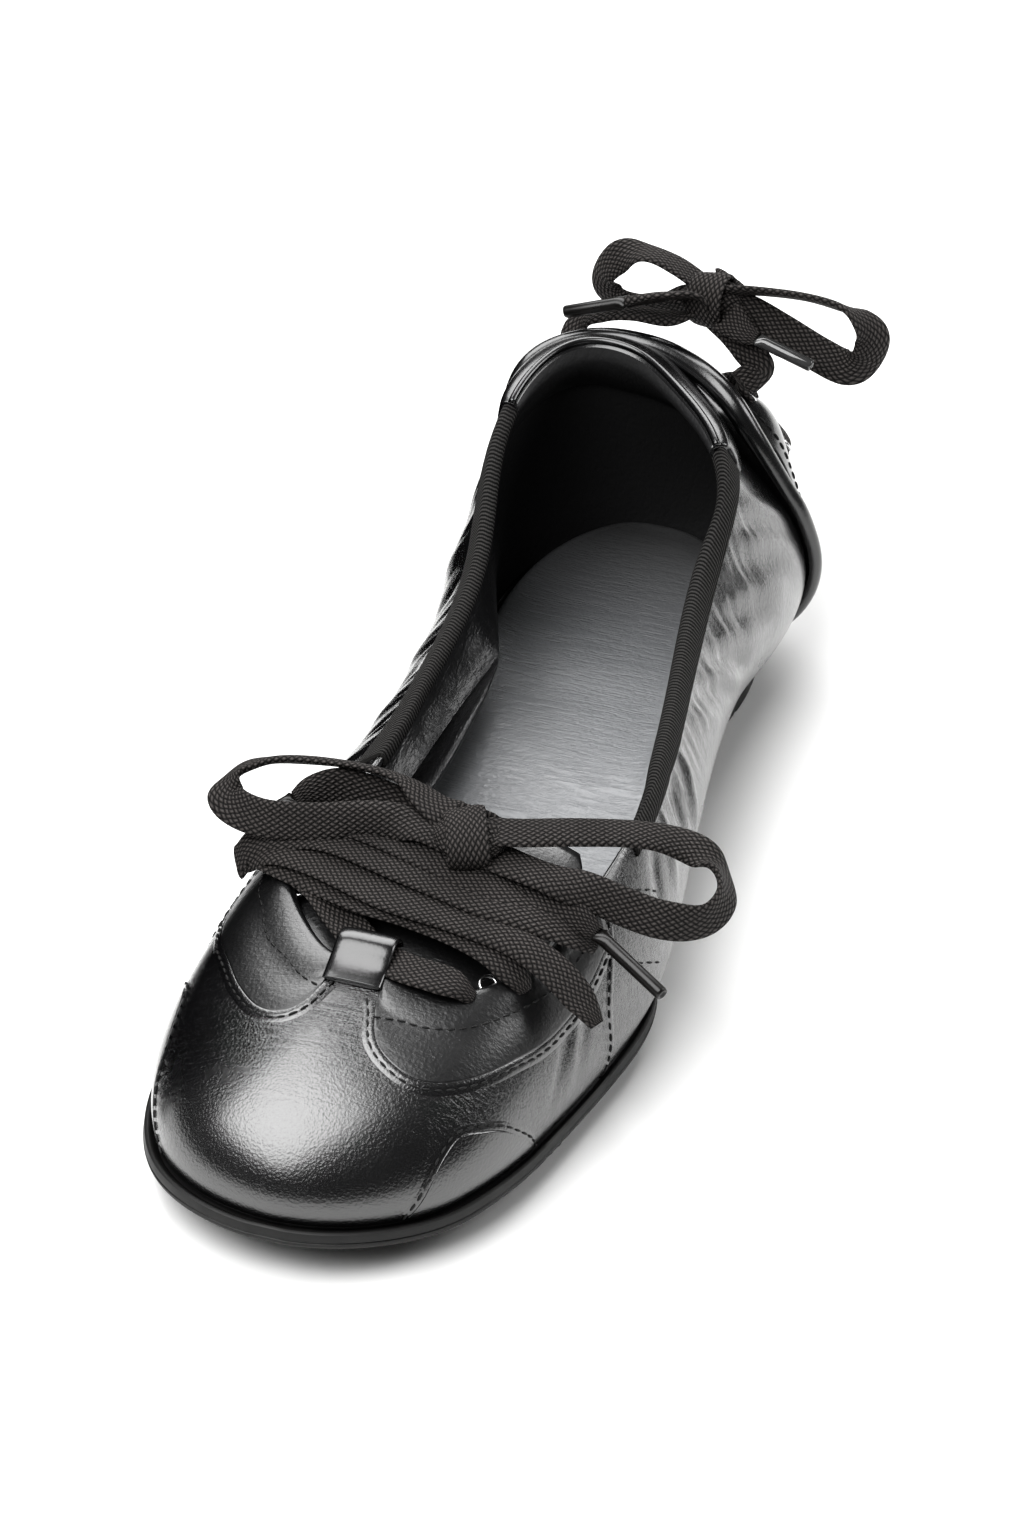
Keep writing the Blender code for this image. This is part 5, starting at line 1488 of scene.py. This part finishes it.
# %% Bars across the heel
HEEL_BARS = [  # u and v across the counter, millimetres off it
    [(0.045, 0.69, -1.0), (0.042, 0.69, 1.0), (0.035, 0.67, 1.8), (0.012, 0.56, 2.2), (-0.012, 0.46, 1.4),
     (-0.029, 0.42, 1.6), (-0.036, 0.42, 1.0), (-0.039, 0.42, -1.0)],
    [(-0.035, 0.60, -1.0), (-0.032, 0.60, 1.0), (-0.027, 0.60, 1.8), (-0.012, 0.56, 1.4), (0.012, 0.46, 2.6),
     (0.038, 0.51, 2.0), (0.045, 0.52, 1.0), (0.048, 0.52, -1.0)],
]
bars = []
for i, route in enumerate(HEEL_BARS):
    line, out = on_counter(*smooth_line(route, LACE_STEPS).T)
    bars.append(lace(f"heel_bar_{i}", line, out, 0.9))
joined("heel_lace_bars", bars, ["lace_heel_bars"])

# %% Strands from the heel bow down to the eyelets
HEEL_STRANDS = {  # free points with their faces, then u, v and millimetres off the counter
    "inner": ([(-126.4, 3, 69.6, "edge"), (-124.8, -3, 68.4, "steep"), (-124.0, -11, 68.6, "steep"),
               (-124.0, -18, 67.0, "up"), (-123.6, -24, 62.6, "up")],
              [(-0.036, 0.66, 2.0), (-0.034, 0.61, 0.4), (-0.034, 0.58, -1.0)]),
    "outer": ([(-127.6, 7, 69.0, "toe"), (-124.6, 11.5, 68.0, "toe"), (-121.6, 15.6, 66.2, "fold"),
               (-119.6, 19.4, 62.6, "fold")], [(0.043, 0.73, 1.2), (0.045, 0.68, -1.0)]),
}
for side, (free, sunk) in HEEL_STRANDS.items():
    ends, out = on_counter(*np.array(sunk).T)
    rows = np.column_stack((place([row[:3] for row in free]), [FACES[row[3]] for row in free]))
    rows = smooth_line(np.concatenate((rows, np.column_stack((ends, out)))), LACE_STEPS)
    lace(f"heel_strand_{side}", rows[:, :3], rows[:, 3:], 0.85, [f"lace_heel_strand_{side}"], cup=0.4 * MM)

# %% Keeper strap
KEEPER_U = 0.501
KEEPER_V = (0.955, 0.975, 0.995)
KEEPER_OFF = (0.75, 0.8, 1.1)  # millimetres off the vamp
KEEPER_ROUTE = [
    (75.4, -4.5, 44.2), (72.9, -4.5, 45.3), (70.3, -4.5, 45.1), (68.6, -4.5, 43.7), (68.1, -4.5, 42.0),
]
KEEPER_FACE = (0.3, 0.0, 1.0)
KEEPER_WIDTH = 12.4 * MM
KEEPER_THICKNESS = 1.3 * MM
on_vamp = off_leather(KEEPER_U, np.array(KEEPER_V), np.array(KEEPER_OFF) * MM)
line = smooth_line(np.concatenate((on_vamp, place(KEEPER_ROUTE))), LACE_STEPS)
sweep_ribbon("keeper_strap", line, KEEPER_FACE, KEEPER_WIDTH, KEEPER_THICKNESS, COLLAR_LEATHER,
             ["lace_keeper"])

# %% [markdown]
# Stitches and eyelets
#
# Both repeat, so both grow with Geometry Nodes. Stitches: a polyline on the leather is cut into equal
# steps, and a small bead of thread is put on each, along the line and square to the leather. Eyelets: a
# ring of plated steel is swept once and set on each point, facing out of the shoe.

# %% Node groups for stitches and eyelets
STITCH_SIZES = (0.9, 1.1)  # the smallest and the largest, as shares of the usual size


def grow(tree, kind, settings=None, **inputs):
    """Adds a geometry node with its settings and inputs and returns its first output."""
    made = tree.nodes.new(kind)
    for key, value in (settings or {}).items():
        setattr(made, key, value)
    for key, value in inputs.items():
        socket = made.inputs[key.replace("_", " ")]
        if isinstance(value, bpy.types.NodeSocket):
            tree.links.new(value, socket)
        else:
            socket.default_value = value
    return made.outputs[0]


def new_tree(name, numbers):
    """A node group with geometry in and out, named numbers and a material."""
    tree = bpy.data.node_groups.new(name, "GeometryNodeTree")
    tree.interface.new_socket("Geometry", in_out="INPUT", socket_type="NodeSocketGeometry")
    for number in numbers:
        tree.interface.new_socket(number, in_out="INPUT", socket_type="NodeSocketFloat")
    tree.interface.new_socket("Material", in_out="INPUT", socket_type="NodeSocketMaterial")
    tree.interface.new_socket("Geometry", in_out="OUTPUT", socket_type="NodeSocketGeometry")
    return tree, tree.nodes.new("NodeGroupInput").outputs


def finish_tree(tree, given, points, bead, scale):
    """Instances of the bead on points, turned to stored vectors, made real and given their material."""
    vector = {"data_type": "FLOAT_VECTOR"}
    along = grow(tree, "GeometryNodeInputNamedAttribute", vector, Name="along")
    out = grow(tree, "GeometryNodeInputNamedAttribute", vector, Name="out")
    turned = grow(tree, "FunctionNodeAlignRotationToVector", {"axis": "X"}, Vector=along)
    turned = grow(tree, "FunctionNodeAlignRotationToVector", {"axis": "Z", "pivot_axis": "X"},
                  Rotation=turned, Vector=out)
    made = grow(tree, "GeometryNodeInstanceOnPoints", Points=points, Instance=bead, Rotation=turned,
                Scale=scale)
    made = grow(tree, "GeometryNodeRealizeInstances", Geometry=made)
    made = grow(tree, "GeometryNodeSetMaterial", Geometry=made, Material=given["Material"])
    tree.links.new(made, tree.nodes.new("NodeGroupOutput").inputs[0])


def stitch_tree():
    """Thread beads at an even pitch along every polyline."""
    tree, given = new_tree("stitches", ("Pitch", "Length", "Width"))
    curve = grow(tree, "GeometryNodeMeshToCurve", Mesh=given["Geometry"])
    curve = grow(tree, "GeometryNodeResampleCurve", {"mode": "LENGTH"}, Curve=curve, Length=given["Pitch"])
    size = tree.nodes.new("ShaderNodeCombineXYZ")
    for axis, number in (("X", "Length"), ("Y", "Width"), ("Z", "Width")):
        tree.links.new(given[number], size.inputs[axis])
    bead = grow(tree, "GeometryNodeMeshUVSphere", Segments=8, Rings=6, Radius=0.5)
    bead = grow(tree, "GeometryNodeTransform", Geometry=bead, Scale=size.outputs[0])
    vary = grow(tree, "FunctionNodeRandomValue", {"data_type": "FLOAT"}, Seed=7).node
    for socket, share in zip(vary.inputs[2:4], STITCH_SIZES):
        socket.default_value = share
    finish_tree(tree, given, curve, bead, vary.outputs[1])
    return tree


def eyelet_tree():
    """A round-edged ring on every point."""
    tree, given = new_tree("eyelets", ("Ring", "Bead"))
    ring = grow(tree, "GeometryNodeCurvePrimitiveCircle", Resolution=40, Radius=given["Ring"])
    bead = grow(tree, "GeometryNodeCurvePrimitiveCircle", Resolution=14, Radius=given["Bead"])
    ring = grow(tree, "GeometryNodeCurveToMesh", Curve=ring, Profile_Curve=bead)
    ring = grow(tree, "GeometryNodeTransform", Geometry=ring, Scale=(1.0, 1.0, 0.75))
    finish_tree(tree, given, given["Geometry"], ring, (1.0, 1.0, 1.0))
    return tree


def grow_piece(name, points, edges, out, along, tree, numbers, look, stands_for=()):
    """Runs a node group on points with stored vectors and keeps the result as a plain mesh."""
    mesh = bpy.data.meshes.new(name + "_points")
    mesh.from_pydata(np.asarray(points).tolist(), edges, [])
    for key, vectors in (("out", out), ("along", along)):
        stored = mesh.attributes.new(key, "FLOAT_VECTOR", "POINT")
        stored.data.foreach_set("vector", np.asarray(vectors, np.float32).ravel())
    made = add_object(name, mesh)
    nodes = made.modifiers.new("grow", "NODES")
    nodes.node_group = tree
    for item in tree.interface.items_tree:
        if item.in_out == "INPUT" and item.name in numbers:
            nodes[item.identifier] = numbers[item.name]
        elif item.in_out == "INPUT" and item.name == "Material":
            nodes[item.identifier] = look
    bpy.context.view_layer.update()
    grown = bpy.data.meshes.new_from_object(made.evaluated_get(bpy.context.evaluated_depsgraph_get()))
    made.modifiers.clear()
    made.data = grown
    grown.name = name
    grown.shade_smooth()
    return settle(made, stands_for)


# %% Stitches
points, edges, outs, alongs = [], [], [], []
for line, out in stitch_lines:
    place_on, normal, _ = skin_frame(line[:, 0], line[:, 1])
    on = place_on + normal * np.broadcast_to(relief(line[:, 0], line[:, 1]) + out, len(line))[:, None]
    start = len(points)
    points += list(on)
    edges += [(start + n, start + n + 1) for n in range(len(on) - 1)]
    outs += list(normal)
    alongs += list(unit(np.gradient(on, axis=0)))
grow_piece("stitches", points, edges, outs, alongs, stitch_tree(),
           {"Pitch": 2.5 * MM, "Length": 1.9 * MM, "Width": 0.5 * MM}, THREAD)

# %% Eyelets
Eyelet = namedtuple("Eyelet", "name u v off")
EYELETS_FRONT = [
    Eyelet("eyelet_front_outer_1", 0.448, 1.0, -0.9), Eyelet("eyelet_front_outer_2", 0.420, 1.0, -0.9),
    Eyelet("eyelet_front_outer_3", 0.385, 1.0, -0.9), Eyelet("eyelet_front_inner_1", 0.618, 1.0, -1.2),
    Eyelet("eyelet_front_inner_2", 0.642, 1.0, -1.2), Eyelet("eyelet_front_inner_3", 0.666, 1.0, -1.2),
]
EYELETS_HEEL = [
    Eyelet("eyelet_heel_outer_1", 0.044, 0.70, 0.1), Eyelet("eyelet_heel_outer_2", 0.047, 0.52, 0.1),
    Eyelet("eyelet_heel_inner_1", 0.966, 0.60, 0.1), Eyelet("eyelet_heel_inner_2", 0.962, 0.42, 0.1),
]
EYELET_LIFT = 1.6 * MM  # how far the front eyelets stand above the topline
EYELET_SETS = (("eyelets_front", EYELETS_FRONT, 1.75, 0.45), ("eyelets_heel", EYELETS_HEEL, 2.4, 0.6))
rings = eyelet_tree()
for name, rows, ring, bead in EYELET_SETS:
    u, v, off = np.array([row[1:] for row in rows]).T
    at, normal, up = skin_frame(u, v)
    off = off * MM
    if rows is EYELETS_HEEL:
        off = off + counter_height(u - np.round(u), v)
    at = at + normal * off[:, None]
    if rows is EYELETS_FRONT:
        at = at + up * EYELET_LIFT
    grow_piece(name, at, [], normal, up, rings, {"Ring": ring * MM, "Bead": bead * MM}, STEEL,
               [row.name for row in rows])

# %% [markdown]
# Floor and light
#
# The shoe stands on a seamless pale floor under one large soft box, a little to the front and inner side,
# with a wide panel behind and a weak one at the outer side. Black leather shows mostly what it reflects,
# so the lights' places were worked out from where the photograph's highlights lie on the toe. A black
# card that only reflections see darkens the inner side, and a look with more contrast brings the deep
# blacks of the photograph.

# %% Floor and lights
FLOOR_HALF = 6.0
CARD_Y = -75 * MM
CARD_X = (-160 * MM, 100 * MM)
CARD_Z = (1 * MM, 75 * MM)


def stage_sheet(name, corners, material, shine, colour):
    """A plain sheet, kept out of the part."""
    mesh = bpy.data.meshes.new(name)
    mesh.from_pydata(corners, [], [(0, 1, 2, 3)])
    graph = Graph(material, Roughness=0.9, Specular_IOR_Level=shine, Base_Color=(*colour, 1.0))
    mesh.materials.append(graph.material)
    made = add_object(name, mesh)
    return made


def stage_floor():
    """The wide pale floor."""
    corners = [(x * FLOOR_HALF, y * FLOOR_HALF, 0) for x, y in ((-1, -1), (1, -1), (1, 1), (-1, 1))]
    stage_sheet("floor", corners, "floor paper", 0.1, (0.93, 0.93, 0.925))


def dark_card():
    """A black card beside the inner side, which only reflections show."""
    (heel, toe), (low, high) = CARD_X, CARD_Z
    corners = [(x, CARD_Y, z) for x, z in ((heel, low), (toe, low), (toe, high), (heel, high))]
    card = stage_sheet("dark card", corners, "card black", 0.0, (0.004, 0.004, 0.004))
    card.visible_camera = False
    card.visible_diffuse = False
    card.visible_shadow = False


def soft_box(name, middle, aim, wide, deep, watts):
    """A rectangular area light."""
    light = bpy.data.lights.new(name, "AREA")
    light.shape = "RECTANGLE"
    light.size, light.size_y = wide, deep
    light.energy = watts
    made = add_object(name, light)
    made.location = middle
    made.rotation_euler = (Vector(aim) - Vector(middle)).to_track_quat("-Z", "Y").to_euler()


stage_floor()
dark_card()
soft_box("key", (0.52, -0.40, 1.18), (0.06, 0.0, 0.02), 1.2, 1.2, 23.0)
soft_box("back", (-1.22, -0.42, 1.32), (0.0, 0.0, 0.02), 1.8, 1.1, 28.0)
soft_box("outer side", (-0.75, 1.35, 1.05), (0.0, 0.0, 0.0), 0.8, 0.8, 10.0)
world = bpy.data.worlds.new("studio")
world.use_nodes = True
world.node_tree.nodes["Background"].inputs["Color"].default_value = (1.0, 1.0, 1.0, 1.0)
world.node_tree.nodes["Background"].inputs["Strength"].default_value = 0.08
bpy.context.scene.world = world
bpy.context.scene.view_settings.view_transform = "Standard"
bpy.context.scene.view_settings.look = "Medium High Contrast"
print("lights:", [light.name for light in bpy.data.lights])
